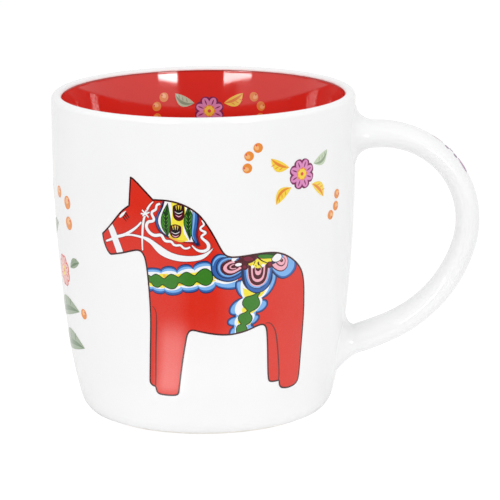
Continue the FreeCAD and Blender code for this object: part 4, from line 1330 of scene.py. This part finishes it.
        art.lay(Ink.YELLOW, blob((-11.2, 47.75), (-9.6, 48.1), (-8.4, 48.0), (-9.6, 46.4)),
                blob((-6.9, 47.9), (-5.8, 48.15), (-4.6, 48.3), (-5.7, 46.9)),
                blob((-2.3, 48.6), (-1.1, 48.65), (0.1, 49.0), (-1.0, 47.4)),
                blob((-14.9, 45.4), (-13.6, 45.6), (-12.6, 44.5), (-14.2, 44.5)),
                blob((-11.6, 44.4), (-10.5, 45.3), (-9.3, 44.4), (-10.5, 44.1)),
                blob((-6.2, 44.7), (-5.4, 46.1), (-4.1, 45.1), (-5.3, 44.9)),
                blob((-1.9, 45.2), (-0.7, 46.4), (0.6, 45.4), (-0.7, 45.2)),
                blob((3.1, 45.9), (4.2, 47.6), (5.6, 46.6), (4.4, 46.2)))
        art.lay(Ink.GOLD, blob((-9.9, 47.9), (-9.4, 47.95), (-9.1, 47.4), (-9.7, 46.9)),
                blob((-5.3, 46.0), (-4.9, 45.8), (-4.7, 45.2), (-5.5, 45.1)),
                blob((4.0, 47.2), (4.4, 47.2), (4.6, 46.6), (4.0, 46.5)))
        art.edged(Ink.GREEN, Ink.LEAF_DARK, 0.26, strokes(
            [(-14.5, 47.4), (-13.5, 46.9)], [(-12.1, 47.75), (-10.8, 47.2)],
            [(-9.7, 46.6), (-9.0, 47.1), (-7.7, 47.95), (-6.4, 47.5), (-5.6, 47.2), (-4.9, 47.7),
             (-3.4, 48.65), (-1.9, 48.0), (-1.0, 47.75), (0.1, 48.8), (1.9, 49.65), (3.5, 48.6)],
            [(3.75, 47.2), (3.2, 45.7), (1.9, 45.15), (0.5, 45.7), (-0.7, 46.2), (-1.6, 45.3), (-2.9, 44.95),
             (-4.3, 45.4), (-5.6, 45.85), (-6.4, 44.6), (-7.8, 44.05), (-9.3, 44.6), (-10.4, 45.1),
             (-11.2, 44.5), (-12.1, 44.3), (-13.0, 44.8), (-13.6, 45.5), (-15.6, 45.4)], [(-15.6, 47.3)]))

    def girth(self, art: Drawing) -> None:
        """The scalloped band that hangs from the saddle, with three green balls."""
        left = ((11.0, 46.2), (10.2, 43.9), (12.1, 41.2), (8.4, 38.3), (10.4, 36.1), (7.8, 34.5), (9.9, 33.0),
                (8.4, 31.6), (9.0, 29.6))
        right = ((21.0, 48.4), (22.3, 44.4), (18.1, 40.4), (19.9, 38.2), (16.3, 36.3), (17.4, 34.6),
                 (14.7, 33.0), (16.2, 32.2), (16.0, 29.6))
        outer = np.vstack([scallops(*left), scallops(*right)[::-1]])
        for ink, inward in ((Ink.NAVY, 0.0), (Ink.BLUE, 0.3), (Ink.SKY, 0.62)):
            art.lay(ink, grown(outer, -inward))
        art.lay(Ink.WHITE, np.vstack([
            scallops((12.4, 46.2), (11.7, 43.6), (12.8, 41.0), (10.2, 38.5), (11.6, 36.1), (10.1, 34.6),
                     (10.8, 33.2), (10.2, 31.9), (10.4, 29.6)),
            scallops((19.6, 48), (20.4, 44.0), (17.3, 40.6), (17.9, 38.9), (15.3, 36.5), (15.7, 34.8),
                     (13.5, 33.2), (14.0, 32.0), (13.9, 29.6))[::-1]]))
        art.lay(Ink.SKY, blob((14.2, 32.0), (15.2, 31.9), (14.9, 32.8), (13.9, 33.0)))
        art.lay(Ink.YELLOW, strokes([(14, 43.2), (16.4, 42.2)], [(14.2, 41.2), (12.9, 41.1)], [(12.3, 43.9)]),
                blob((12.9, 38.7), (12.1, 37.3), (12.9, 36.7), (13.7, 37.3)),
                blob((16.5, 41.4), (18.2, 43.0), (18.9, 42.5), (17.2, 40.9)),
                blob((14.3, 36.7), (15.0, 37.4), (16.2, 37.3), (15.1, 36.5)),
                blob((10.9, 34.6), (11.2, 33.7), (12.0, 33.7), (11.6, 34.5)),
                blob((13.3, 33.6), (14.3, 34.2), (14.9, 33.7), (13.9, 33.2)))
        art.edged(Ink.GREEN, Ink.LEAF_DARK, 0.26, strokes(
            [(15.0, 41.4), (13.2, 41.0), (12.4, 39.6), (13.0, 38.4), (13.8, 37.4), (13.0, 36.7), (11.6, 36.2),
             (11.25, 35.2), (11.8, 34.1), (12.1, 33.6), (11.2, 33.2), (10.7, 32.2), (11.0, 30.2)],
            [(13.2, 30.6)],
            [(13.7, 32.1), (13.3, 33.2), (14.5, 33.9), (15.1, 35.3), (14.4, 36.4), (14.4, 36.9), (16.4, 37.8),
             (17.3, 39.1), (17.0, 40.3), (16.7, 41.2), (17.4, 42.0)], [(16.6, 42.1)]))

    def saddle(self, art: Drawing) -> None:
        """The saddle: three kurbits flowers in blue, pink and maroon rings, under a dark heap of petals."""
        self.right_flower(art)
        self.left_flower(art)
        art.lay(Ink.NAVY, strokes(
            [(11.95, 46.6), (12.9, 44.3), (14.8, 42.6), (16.8, 42.0), (18.9, 42.7), (20.5, 44.2),
             (21.2, 46.2), (21.0, 48.6)], [(16, 52), (11.9, 49.8)]))
        for ink, half, low in (
                (Ink.BLUE, 4.2, 42.35), (Ink.NAVY, 3.75, 43.3), (Ink.SKY, 3.68, 43.5),
                (Ink.BLUSH, 3.18, 43.95), (Ink.MAROON, 2.92, 44.3), (Ink.BLUSH, 2.08, 45.25),
                (Ink.MAROON, 1.6, 46.0), (Ink.BLUSH, 0.95, 47.15), (Ink.MAROON, 0.72, 48.25)):
            u = 16.75
            art.lay(ink, strokes(
                [(u - half * 0.99, 48.4), (u - half * 0.8, low + half * 0.5),
                 (u - half * 0.42, low + half * 0.1), (u, low), (u + half * 0.42, low + half * 0.1),
                 (u + half * 0.8, low + half * 0.5), (u + half * 0.99, 48.4), (u + half, 50.2)],
                [(u - half, 50.2)]))
        art.lay(Ink.BLUE, ribbon([(20.4, 48.0), (20.2, 46.0), (19.2, 44.5), (17.4, 43.6)], 0.15, 0.3, 0.15))
        art.lay(Ink.YELLOW, strokes(
            [(15.0, 50.9), (15.8, 51.4), (16.8, 51.9), (17.9, 51.1), (19.4, 50.5)],
            [(18.9, 49.8), (17.8, 49.4), (16.8, 49.1), (15.6, 49.5), (14.6, 49.9), (13.7, 50.6)]))
        art.lay(Ink.WHITE, blob((14.7, 49.9), (15.3, 50.1), (15.6, 49.5), (14.9, 49.2)),
                blob((17.7, 49.9), (18.4, 50.2), (18.7, 49.6), (17.9, 49.3)))
        art.lay(Ink.BLACK, ribbon([(15.85, 51.3), (15.6, 50.6), (15.25, 50.0)], 0.3, 0.22, 0.1),
                ribbon([(16.0, 50.0), (16.2, 49.6)], 0.3, 0.1), oval(16.9, 50.4, 0.36, 0.62, 20),
                ribbon([(17.3, 49.8), (17.9, 49.3)], 0.3, 0.1))
        art.lay(Ink.GOLD, oval(17.1, 50.5, 0.16, 0.42, 20), oval(14.6, 50.4, 0.3, 0.16))
        art.lay(Ink.YELLOW, blob(
            (17.2, 51.6), (18.6, 51.6), (20.9, 51.6), (21.6, 51.2), (20.4, 50.6), (18.4, 50.7)))
        art.lay(Ink.BLACK, ribbon([(16.2, 52.6), (17.0, 51.8), (18.1, 50.95), (19.4, 50.4)], 0.5, 0.34, 0.22))
        art.lay(Ink.LEAF_DARK, blob(
            (16.0, 53.5), (19, 53.7), (22.4, 52.9), (22.3, 51.7), (19.5, 51.55), (17.3, 51.9)))
        art.lay(Ink.GREEN, blob(
            (16.7, 52.5), (18.6, 52.75), (21.2, 52.2), (22.0, 51.7), (19.6, 51.65), (17.8, 51.75)))
        art.lay(Ink.MAROON,
                strokes([(11.2, 52.1), (13, 52.9), (14.6, 53.5), (16.1, 53.5)], [(16.3, 52.4), (15.8, 51.4)],
                        [(14.9, 50.9), (13.9, 50.6), (13.75, 49.9), (13.5, 49.2), (12.8, 48.95), (12.0, 49.4),
                         (11.9, 49.9), (11.0, 49.9), (10.2, 50.3), (9.8, 51.0)]),
                oval(12.9, 49.75, 0.95, 0.9), oval(20.15, 49.75, 0.98, 0.95))
        art.lay(Ink.PLUM,
                blob((12.6, 52.3), (13.8, 52.6), (14.9, 52.2), (15.3, 51.7), (14.0, 51.4), (12.8, 51.6)),
                oval(20.25, 49.9, 0.6, 0.55), oval(12.8, 49.8, 0.5, 0.45))
        art.lay(Ink.WHITE, oval(11.05, 50.55, 0.95, 0.46, 4),
                blob((9.1, 51.9), (9.8, 51.5), (10.6, 52.2), (11.6, 52.75), (10.2, 52.75), (9.4, 52.5)))
        art.edged(Ink.WHITE, Ink.MAROON, 0.22, blob(
            (20.9, 51.1), (21.6, 50.5), (22.9, 50.5), (23.8, 51.2), (23.8, 52.0), (22.9, 52.6), (21.7, 52.2)))

    def right_flower(self, art: Drawing) -> None:
        """The saddle's right flower, open towards the middle one."""
        art.lay(Ink.NAVY, strokes(
            [(20.8, 47.8), (22.2, 46.3), (24.4, 45.2), (27.2, 45.9), (28.9, 47.6), (29.1, 49.5)],
            [(27, 53), (21, 52), (20.2, 48.9)]))
        art.lay(Ink.BLUE, strokes(
            [(22.4, 46.7), (24.5, 45.5), (27.0, 46.1), (28.6, 47.7), (28.8, 49.6)], [(26, 53), (20.8, 48.4)]))
        art.lay(Ink.SKY, strokes(
            [(22.6, 46.9), (24.6, 46.0), (26.7, 46.5), (28.0, 47.9), (28.2, 49.3), (27.4, 51.2)],
            [(24, 52), (21.1, 48.5)]))
        layers = ((Ink.MAROON, 1.0), (Ink.BLUSH, 0.9), (Ink.MAROON, 0.56), (Ink.BLUSH, 0.46),
                  (Ink.MAROON, 0.2))
        shape = np.vstack([
            smooth_line([(20.6, 49.6), (21.4, 48.6), (22.7, 47.7), (24.2, 47.4), (25.6, 48.1), (26.15, 49.6),
                         (25.9, 51.0), (24.9, 52.1)]),
            smooth_line([(24.9, 52.1), (24.0, 51.0), (22.6, 50.2), (20.6, 49.6)])[1:-1]])
        for ink, share in layers:
            art.lay(ink, (shape - (24.0, 50.7)) * share + (24.0, 50.7))

    def left_flower(self, art: Drawing) -> None:
        """The saddle's left flower, open towards the middle one."""
        art.lay(Ink.NAVY, blob(
            (8.3, 53.2), (6.0, 53.9), (4.3, 53.2), (3.4, 51.7), (3.35, 49.8), (3.7, 48.2), (4.8, 46.9),
            (6.5, 46.1), (8.6, 45.8), (10.9, 46.4), (12.3, 47.4), (12.4, 49.5), (11, 53.4)))
        art.lay(Ink.BLUE, blob(
            (8.2, 53.0), (6.0, 53.55), (4.6, 52.9), (3.75, 51.5), (3.7, 49.8), (4.0, 48.4), (5.0, 47.2),
            (6.7, 46.4), (8.6, 46.15), (10.7, 46.7), (12.0, 47.7), (12.0, 49.5), (10.7, 53.0)))
        art.lay(Ink.SKY, ribbon(
            [(3.95, 50.6), (4.4, 51.9), (5.6, 53.0), (7.0, 53.1), (8.3, 52.6)], 0.2, 0.6, 0.3))
        art.lay(Ink.NAVY, ribbon(
            [(8.4, 52.6), (6.9, 52.7), (5.6, 51.9), (4.9, 50.3), (5.2, 48.6), (6.3, 47.4), (8.2, 46.9),
             (10.2, 47.3), (11.8, 48.3)], 0.25, 0.3, 0.3, 0.25))
        art.lay(Ink.SKY, blob(
            (9.4, 52.5), (7.4, 52.4), (5.9, 51.4), (5.4, 49.9), (5.8, 48.6), (6.9, 47.6), (8.6, 47.3),
            (10.4, 47.8), (11.8, 48.8), (11.6, 50.5)))
        art.lay(Ink.BLUE, ribbon(
            [(8.4, 52.2), (6.9, 51.6), (6.0, 50.0), (6.4, 48.7), (7.4, 47.8)], 0.1, 0.26, 0.1))
        art.lay(Ink.MAROON, blob(
            (9.8, 52.1), (7.8, 51.9), (6.4, 50.9), (6.05, 49.7), (6.5, 48.6), (7.6, 47.8), (9.2, 47.7),
            (10.9, 48.4), (12.2, 49.3), (11.4, 50.8)))
        art.lay(Ink.BLUSH, blob(
            (9.7, 51.5), (8.2, 51.3), (7.1, 50.5), (6.8, 49.6), (7.3, 48.8), (8.3, 48.3), (9.6, 48.3),
            (11.0, 48.9), (11.9, 49.6), (10.7, 50.3)))
        art.lay(Ink.MAROON, blob(
            (9.9, 51.0), (8.7, 50.9), (7.9, 50.3), (7.8, 49.6), (8.4, 49.1), (9.5, 49.0), (10.7, 49.4),
            (11.2, 49.9), (10.4, 50.4)))
        art.lay(Ink.BLUSH, ribbon(
            [(9.9, 50.7), (9.0, 50.4), (8.7, 49.9), (9.3, 49.5), (10.4, 49.6)], 0.2, 0.34, 0.2))
        art.lay(Ink.WHITE, blob(
            (4.0, 46.9), (5.4, 46.5), (7.4, 45.75), (9.6, 45.7), (7.6, 45.3), (5.4, 45.9)))


# ---------------------------------------------------------------- the painted flowers

class Flowers:
    """Folk-painted sprays in orange, lilac and sage: a round flower, leaves and trefoils of berries."""

    spray_trefoils = ((-13.0, 4.6, 150), (11.4, -9.4, 330))
    lining_trefoils = ((-12.0, 0.6, 160), (12.0, 0.6, 20))

    def bloom(self, art: Drawing, u: float, v: float, radius: float, edge: Ink = Ink.PURPLE,
              petal: Ink = Ink.PINK) -> None:
        """A round flower with eight veined petals, in two inks, round a yellow heart."""
        art.lay(edge, rosette(u, v, radius, 8))
        for i in range(8):
            at = turned(np.array([[radius * 0.6, 0]]), u, v, 22.5 + i * 45)[0]
            art.lay(petal, oval(*at, radius * 0.34, radius * 0.24, 22.5 + i * 45))
            art.lay(edge, leaf(*turned(np.array([[radius * 0.4, 0]]), u, v, 22.5 + i * 45)[0], radius * 0.44,
                               radius * 0.09, 22.5 + i * 45))
        art.lay(Ink.ORANGE, rosette(u, v, radius * 0.42, 8, 0.2, 22.5))
        art.lay(Ink.LEMON, rosette(u, v, radius * 0.34, 8, 0.16))
        art.lay(Ink.CORAL, oval(u, v, radius * 0.12))

    def painted_leaf(self, art: Drawing, u: float, v: float, length: float, width: float, angle: float,
                     bow: float = 0.0, ink: Ink = Ink.SAGE, vein: Ink = Ink.MOSS) -> None:
        """A leaf with a darker lower half, a midrib and side veins."""
        art.lay(ink, leaf(u, v, length, width, angle, bow))
        t = np.linspace(0, 1, 14)
        middle = np.stack([t * length, 4 * t * (1 - t) * bow], axis=1)
        edge = np.stack([t * length, 4 * t * (1 - t) * (bow - width / 2)], axis=1)
        art.lay(vein, turned(np.vstack([middle, (middle * 0.45 + edge * 0.55)[-2:0:-1]]), u, v, angle))
        for share in (0.3, 0.5, 0.7):
            at = turned(np.array([[share * length, 4 * share * (1 - share) * bow]]), u, v, angle)[0]
            art.lay(vein, leaf(*at, width * 0.46, width * 0.09, angle + 52))

    def berry(self, art: Drawing, u: float, v: float, radius: float, angle: float = 90.0,
              skin: Ink = Ink.ORANGE, side: Ink = Ink.APRICOT, eye: Ink = Ink.CORAL) -> None:
        """A berry with a pale side and an eye, orange and red unless other inks are named."""
        art.lay(skin, oval(u, v, radius))
        at = turned(np.array([[radius * 0.24, radius * 0.2]]), u, v, angle)[0]
        art.lay(side, oval(*at, radius * 0.58, radius * 0.44, angle))
        at = turned(np.array([[radius * 0.62, 0]]), u, v, angle)[0]
        art.lay(eye, oval(*at, radius * 0.2))

    def spray(self, trefoils: tuple) -> Drawing:
        """The spray of four leaves and two trefoils round a flower."""
        art = Drawing()
        for angle, bow, ink, vein in ((152, 1.0, Ink.LEMON, Ink.ORANGE), (222, -1.0, Ink.LEMON, Ink.ORANGE),
                                      (318, 1.0, Ink.LEMON, Ink.ORANGE), (28, -1.0, Ink.MIST, Ink.SAGE)):
            base = turned(np.array([[4.9, 0]]), 0, 0, angle)[0]
            self.painted_leaf(art, *base, 6.4, 3.0, angle, bow, ink, vein)
        for centre_u, centre_v, lean in trefoils:
            for side in (-1, 0, 1):
                at = turned(np.array([[2.6 if side else 3.8, 3.1 * side]]), centre_u, centre_v, lean)[0]
                self.berry(art, *at, 1.35, lean + 25 * side)
        self.bloom(art, 0, 0, 4.3)
        return art

    def garland(self) -> Drawing:
        """The tall bouquet, the same left and right: a tulip over pairs of flowers, berries and leaves."""
        art = Drawing()
        art.lay(Ink.SAGE, leaf(0, 15, 41.5, 1.2, 90))
        self.painted_leaf(art, 0, 58.5, 11.0, 6.0, 90, 0.0, Ink.APRICOT, Ink.CORAL)
        art.lay(Ink.LILAC, leaf(0, 59.4, 7.4, 2.2, 90))
        for side in (-1, 1):
            def swing(angle: float, side: int = side) -> float:
                """The angle on this side."""
                return angle if side > 0 else 180 - angle
            self.painted_leaf(art, side * 1.6, 19, 22.5, 6.0, swing(8), 2.2 * side)
            self.painted_leaf(art, side * 1.6, 28, 22.5, 5.6, swing(12), 2.2 * side)
            self.painted_leaf(art, side * 20.6, 45, 6.2, 2.8, swing(22), 0.6 * side)
            self.painted_leaf(art, side * 2.6, 51, 11.0, 3.6, swing(28), 1.0 * side)
            self.bloom(art, side * 14.6, 43.0, 4.6, Ink.CORAL, Ink.PALE_PINK)
            for u, v, radius in ((21.6, 63.6, 1.9), (21.9, 57.8, 1.9), (15.6, 65.6, 1.7), (26.2, 32.6, 1.5)):
                self.berry(art, side * u, v, radius, swing(40))
        return art

    def sprig(self) -> Drawing:
        """The short sprig on the handle: leaves and berries in turn."""
        art = Drawing()
        self.painted_leaf(art, -7.6, 0.0, 4.6, 1.9, 20, 0.0, Ink.LILAC, Ink.VIOLET)
        self.painted_leaf(art, 2.6, -0.2, 4.6, 1.9, -20, 0.0, Ink.LILAC, Ink.VIOLET)
        for u, v in ((-2.0, -1.0), (-0.2, 0.9), (1.4, -1.2)):
            self.berry(art, u, v, 0.75, 60, Ink.VIOLET, Ink.LILAC, Ink.PLUM)
        return art


# ---------------------------------------------------------------- the studio

@dataclass
class SoftBox:
    """A soft lamp that faces the mug from a direction and covers a part of the sky."""

    name: str
    azimuth: tuple[float, float]
    elevation: tuple[float, float]
    radiance: float
    distance: float = 1.5
    diffuse: bool = True
    glossy: bool = True

    def build(self, aim: Vector) -> bpy.types.Object:
        """Hangs the lamp.

        Args:
            aim: The point that it faces and is measured from, in metres.

        Returns:
            The lamp.
        """
        middle = [math.radians(sum(pair) / 2) for pair in (self.azimuth, self.elevation)]
        spread = [math.radians(pair[1] - pair[0]) for pair in (self.azimuth, self.elevation)]
        away = Vector((math.sin(middle[0]) * math.cos(middle[1]), -math.cos(middle[0]) * math.cos(middle[1]),
                       math.sin(middle[1])))
        data = bpy.data.lights.new(self.name, "AREA")
        data.shape = "RECTANGLE"
        data.size = 2 * self.distance * math.tan(spread[0] / 2) * math.cos(middle[1])
        data.size_y = 2 * self.distance * math.tan(spread[1] / 2)
        data.energy = self.radiance * math.pi * data.size * data.size_y
        lamp = bpy.data.objects.new(self.name, data)
        bpy.context.scene.collection.objects.link(lamp)
        lamp.location = aim + away * self.distance
        lamp.rotation_euler = (-away).to_track_quat("-Z", "Y").to_euler()
        lamp.visible_camera = False
        lamp.visible_diffuse, lamp.visible_glossy = self.diffuse, self.glossy
        return lamp


@dataclass(frozen=True)
class FloorCards:
    """White cards on the floor, which only the mug's shine shows.

    Stops are directions in degrees from the front, right of it positive, with the brightness at each. Fades
    are the distances from the axis, in metres, over which the near and left cards go from their level to
    nothing, the wide one goes to its share on the open sides, and the shade next to the foot ends.
    """

    wide: tuple = ((-180, 0.95), (-110, 0.85), (-60, 0.5), (-18, 0.36), (-8, 0.05), (8, 0.05), (18, 0.36),
                   (60, 0.68), (90, 0.68), (120, 0.9), (180, 0.95))
    near: tuple = ((-180, 0.0), (-33, 0.0), (-29, 0.4), (-24, 1.0), (-15, 1.0), (-7, 0.15), (25, 0.15),
                   (60, 0.05), (180, 0.0))
    left: tuple = ((-180, 0.0), (-31, 0.0), (-25, 1.0), (-18, 1.0), (-12, 0.0), (180, 0.0))
    open_sides: tuple = ((-180, 1.0), (-95, 1.0), (-60, 0.12), (60, 0.12), (95, 1.0), (180, 1.0))
    near_fade: tuple[float, float] = (0.092, 0.12)
    near_level: float = 2.0
    left_fade: tuple[float, float] = (0.06, 0.1)
    left_level: float = 0.6
    wide_fade: tuple[float, float] = (0.17, 0.30)
    foot_shade: tuple[float, float] = (0.05, 0.062)


@dataclass
class Studio:
    """A plain pale floor, soft lamps round the mug and the camera."""

    aim: Vector = field(default_factory=lambda: Vector((0.01261, 0.0003, 0.04528)))
    eye: Vector = field(default_factory=lambda: Vector((0.03995, -0.87981, 0.24722)))
    roll: float = -0.568
    lens: float = 230.4
    sky: float = 0.70
    room_gap: tuple = ((-180, 0.9), (-30, 0.9), (-24, 0.1), (22, 0.1), (27, 0.9), (180, 0.9))
    table_light: float = 0.22
    foot_light: float = 0.15
    foot_fade: tuple[float, float] = (0.06, 0.14)
    floor_size: float = 8.0
    paper: tuple[str, str] = ("dcdcdc", "e4e4e4")
    grains_per_metre: float = 60.0
    page_level: float = 1.06
    page_share: float = 0.86
    cards: FloorCards = FloorCards()
    lamp_aim: Vector = field(default_factory=lambda: Vector((0.0, 0.0, 0.08)))
    lamps: tuple[SoftBox, ...] = (
        SoftBox("window_lamp_left", (-39.5, -15), (12.7, 20), 15.0, diffuse=False),
        SoftBox("window_lamp_right", (24.6, 41), (12.7, 20), 23.0, diffuse=False),
        SoftBox("front_key", (-50, 50), (18, 58), 0.92, glossy=False),
        SoftBox("left_key", (-110, -55), (5, 50), 0.22, glossy=False),
        SoftBox("right_key", (55, 110), (5, 50), 0.27, glossy=False),
        SoftBox("top_key", (-60, 60), (55, 100), 0.7, glossy=False),
    )

    def camera(self) -> bpy.types.Object:
        """Sets up the camera on its line of sight, with its small roll."""
        data = bpy.data.cameras.new("camera")
        data.lens, data.sensor_width, data.clip_start, data.clip_end = self.lens, 36.0, 0.05, 50.0
        camera = bpy.data.objects.new("camera", data)
        bpy.context.scene.collection.objects.link(camera)
        turn = (self.aim - self.eye).to_track_quat("-Z", "Y").to_matrix().to_4x4()
        camera.matrix_world = (Matrix.Translation(self.eye) @ turn
                               @ Matrix.Rotation(math.radians(self.roll), 4, "Z"))
        bpy.context.scene.camera = camera
        return camera

    def floor(self) -> bpy.types.Object:
        """Lays the floor, a wide square just under the foot."""
        half = self.floor_size / MM / 2
        corners = np.array([(-half, -half, 0), (half, -half, 0), (half, half, 0), (-half, half, 0)])
        floor = build_mesh("floor", corners, [[0, 1, 2, 3]])
        material, tree = new_material("paper_floor")
        ray, shine = self.shine_rays(tree)
        place = add_node(tree, "ShaderNodeTexCoord").outputs["Object"]
        grain = add_node(tree, "ShaderNodeTexNoise", {
            "Vector": place, "Scale": self.grains_per_metre, "Detail": 4.0})
        tone = add_node(tree, "ShaderNodeMix", {0: grain, 6: linear(self.paper[0]), 7: linear(self.paper[1])},
                        data_type="RGBA")
        paper = add_node(tree, "ShaderNodeBsdfDiffuse", {"Color": tone.outputs[2]})
        away = add_node(tree, "ShaderNodeVectorMath", {0: place}, operation="LENGTH").outputs["Value"]
        under = add_node(tree, "ShaderNodeMapRange", {
            "Value": away, 1: self.foot_fade[0], 2: self.foot_fade[1], 3: self.table_light + self.foot_light,
            4: self.table_light})
        glow = add_node(tree, "ShaderNodeEmission", {"Color": WHITE, "Strength": under})
        lit = add_node(tree, "ShaderNodeAddShader", {0: paper, 1: glow})
        page = add_node(tree, "ShaderNodeEmission", {"Color": WHITE, "Strength": self.page_level})
        seen = add_node(tree, "ShaderNodeMath", {0: ray.outputs["Is Camera Ray"], 1: self.page_share},
                        operation="MULTIPLY")
        plain = add_node(tree, "ShaderNodeMixShader", {0: seen, 1: lit, 2: page})
        mirror = add_node(tree, "ShaderNodeEmission", {"Color": WHITE,
                                                       "Strength": self.card_pattern(tree, place, away)})
        whole = add_node(tree, "ShaderNodeMixShader", {0: shine, 1: plain, 2: mirror})
        add_node(tree, "ShaderNodeOutputMaterial", {"Surface": whole})
        floor.data.materials.append(material)
        return floor

    def shine_rays(self, tree: bpy.types.NodeTree) -> tuple[bpy.types.Node, bpy.types.Node]:
        """The kinds of ray, and a switch that is 1 for the rays of the shine."""
        ray = add_node(tree, "ShaderNodeLightPath")
        kinds = {0: ray.outputs["Is Glossy Ray"], 1: ray.outputs["Is Transmission Ray"]}
        return ray, add_node(tree, "ShaderNodeMath", kinds, operation="MAXIMUM")

    def card_pattern(self, tree: bpy.types.NodeTree, place: bpy.types.NodeSocket,
                     away: bpy.types.NodeSocket) -> bpy.types.NodeSocket:
        """How bright the floor's cards are in the shine, by direction and distance from the mug.

        It is (near * its fade + left * its fade) * the foot's shade + wide * its fade.

        Args:
            tree: The floor's node tree.
            place: The floor's coordinates.
            away: The distance from the mug's axis.

        Returns:
            The socket that gives the brightness.
        """
        c = self.cards
        wide, near, left, open_sides = (self.levels(tree, place, stops)
                                        for stops in (c.wide, c.near, c.left, c.open_sides))
        close, middle, far, foot = (
            add_node(tree, "ShaderNodeMapRange", {"Value": away, 1: fade[0], 2: fade[1], 3: before, 4: after},
                     interpolation_type="SMOOTHSTEP")
            for fade, before, after in (
                (c.near_fade, c.near_level, 0.0), (c.left_fade, c.left_level, 0.0),
                (c.wide_fade, 1.0, open_sides), (c.foot_shade, 0.0, 1.0)))
        whole = add_node(tree, "ShaderNodeMath", {0: wide, 1: far}, operation="MULTIPLY")
        front = add_node(tree, "ShaderNodeMath", {0: left, 1: middle}, operation="MULTIPLY")
        front = add_node(tree, "ShaderNodeMath", {0: near, 1: close, 2: front}, operation="MULTIPLY_ADD")
        return add_node(tree, "ShaderNodeMath", {0: front, 1: foot, 2: whole},
                        operation="MULTIPLY_ADD").outputs[0]

    def levels(self, tree: bpy.types.NodeTree, place: bpy.types.NodeSocket,
               stops: tuple) -> bpy.types.NodeSocket:
        """A ramp of brightness round the mug.

        Args:
            tree: The node tree.
            place: The coordinates.
            stops: Directions in degrees from the front and the brightness at each.

        Returns:
            The socket that gives the brightness.
        """
        part = add_node(tree, "ShaderNodeSeparateXYZ", {0: place})
        front = add_node(tree, "ShaderNodeMath", {0: part.outputs["Y"], 1: -1.0}, operation="MULTIPLY")
        angle = add_node(tree, "ShaderNodeMath", {0: part.outputs["X"], 1: front}, operation="ARCTAN2")
        share = add_node(tree, "ShaderNodeMapRange", {"Value": angle, 1: -math.pi, 2: math.pi})
        ramp = add_node(tree, "ShaderNodeValToRGB", {0: share})
        strip = ramp.color_ramp.elements
        while len(strip) < len(stops):
            strip.new(0.5)
        for element, (degrees, level) in zip(strip, stops):
            element.position = (degrees + 180) / 360
            element.color = (level, level, level, 1.0)
        return ramp.outputs[0]

    def world(self) -> None:
        """Fills the room with even light, and shows it white behind the mug and in its shine."""
        world = bpy.data.worlds.new("room")
        world.use_nodes = True
        tree = world.node_tree
        tree.nodes.clear()
        ray, shine = self.shine_rays(tree)
        towards = add_node(tree, "ShaderNodeTexCoord").outputs["Generated"]
        gap = self.levels(tree, towards, self.room_gap)
        lit = add_node(tree, "ShaderNodeMix", {0: shine, 2: self.sky, 3: gap})
        level = add_node(tree, "ShaderNodeMix", {0: ray.outputs["Is Camera Ray"], 2: lit, 3: 1.0})
        room = add_node(tree, "ShaderNodeBackground", {"Color": WHITE, "Strength": level})
        add_node(tree, "ShaderNodeOutputWorld", {"Surface": room})
        bpy.context.scene.world = world

    def build(self) -> None:
        """Builds the room, its lamps and the camera."""
        self.camera()
        self.floor()
        self.world()
        for lamp in self.lamps:
            lamp.build(self.lamp_aim)
        bpy.context.scene.view_settings.view_transform = "Standard"


def main() -> None:
    """Builds the mug over its frame, piece by piece, and the studio round it."""
    logging.basicConfig(level=logging.INFO, format="%(name)s: %(message)s")
    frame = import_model()
    outline = CupOutline()
    skin, lining, clay = WhiteGlaze().build(), RedGlaze().build(), BarePorcelain().build()
    handle = Handle(outline, skin)
    pieces = Cup(outline, skin, lining, clay).build() + handle.build()
    inks = {ink: FiredInk(ink).build() for ink in Ink}
    horse, flowers = DalaHorse().drawing(), Flowers()
    spray, upper = flowers.spray(flowers.spray_trefoils), outline.cup_height - SPRAY_DROP
    for transfer in (
            Transfer("horse_print_front", "horse_transfer_front", horse, OutsideWall(outline), "horse_inks"),
            Transfer("horse_print_back", "horse_transfer_back", horse, OutsideWall(outline, mirrored=True),
                     "horse_inks"),
            Transfer("spray_print_front", "spray_transfer_front", spray,
                     OutsideWall(outline, SPRAY_AZIMUTH, upper), "flower_inks"),
            Transfer("spray_print_back", "spray_transfer_back", spray,
                     OutsideWall(outline, SPRAY_AZIMUTH, upper, True), "flower_inks"),
            Transfer("garland_print", "garland_transfer", flowers.garland(), OutsideWall(outline, -90.0),
                     "flower_inks"),
            Transfer("lining_print", "lining_transfer", flowers.spray(flowers.lining_trefoils),
                     InsideWall(outline, 180.0, outline.cup_height - LINING_DROP), "flower_inks"),
            Transfer("handle_print", "handle_transfer", flowers.sprig(), HandleTop(handle), "flower_inks")):
        pieces.append(transfer.build(inks))
    for piece in pieces:
        log.info("%s: %d faces", piece.name, len(piece.data.polygons))
    for name in ("handle", "upper_slip_joint", "lower_slip_joint"):
        frame["nodes"][name].data.materials.clear()
        frame["nodes"][name].data.materials.append(skin)
    Studio().build()


if __name__ == "__main__":
    main()
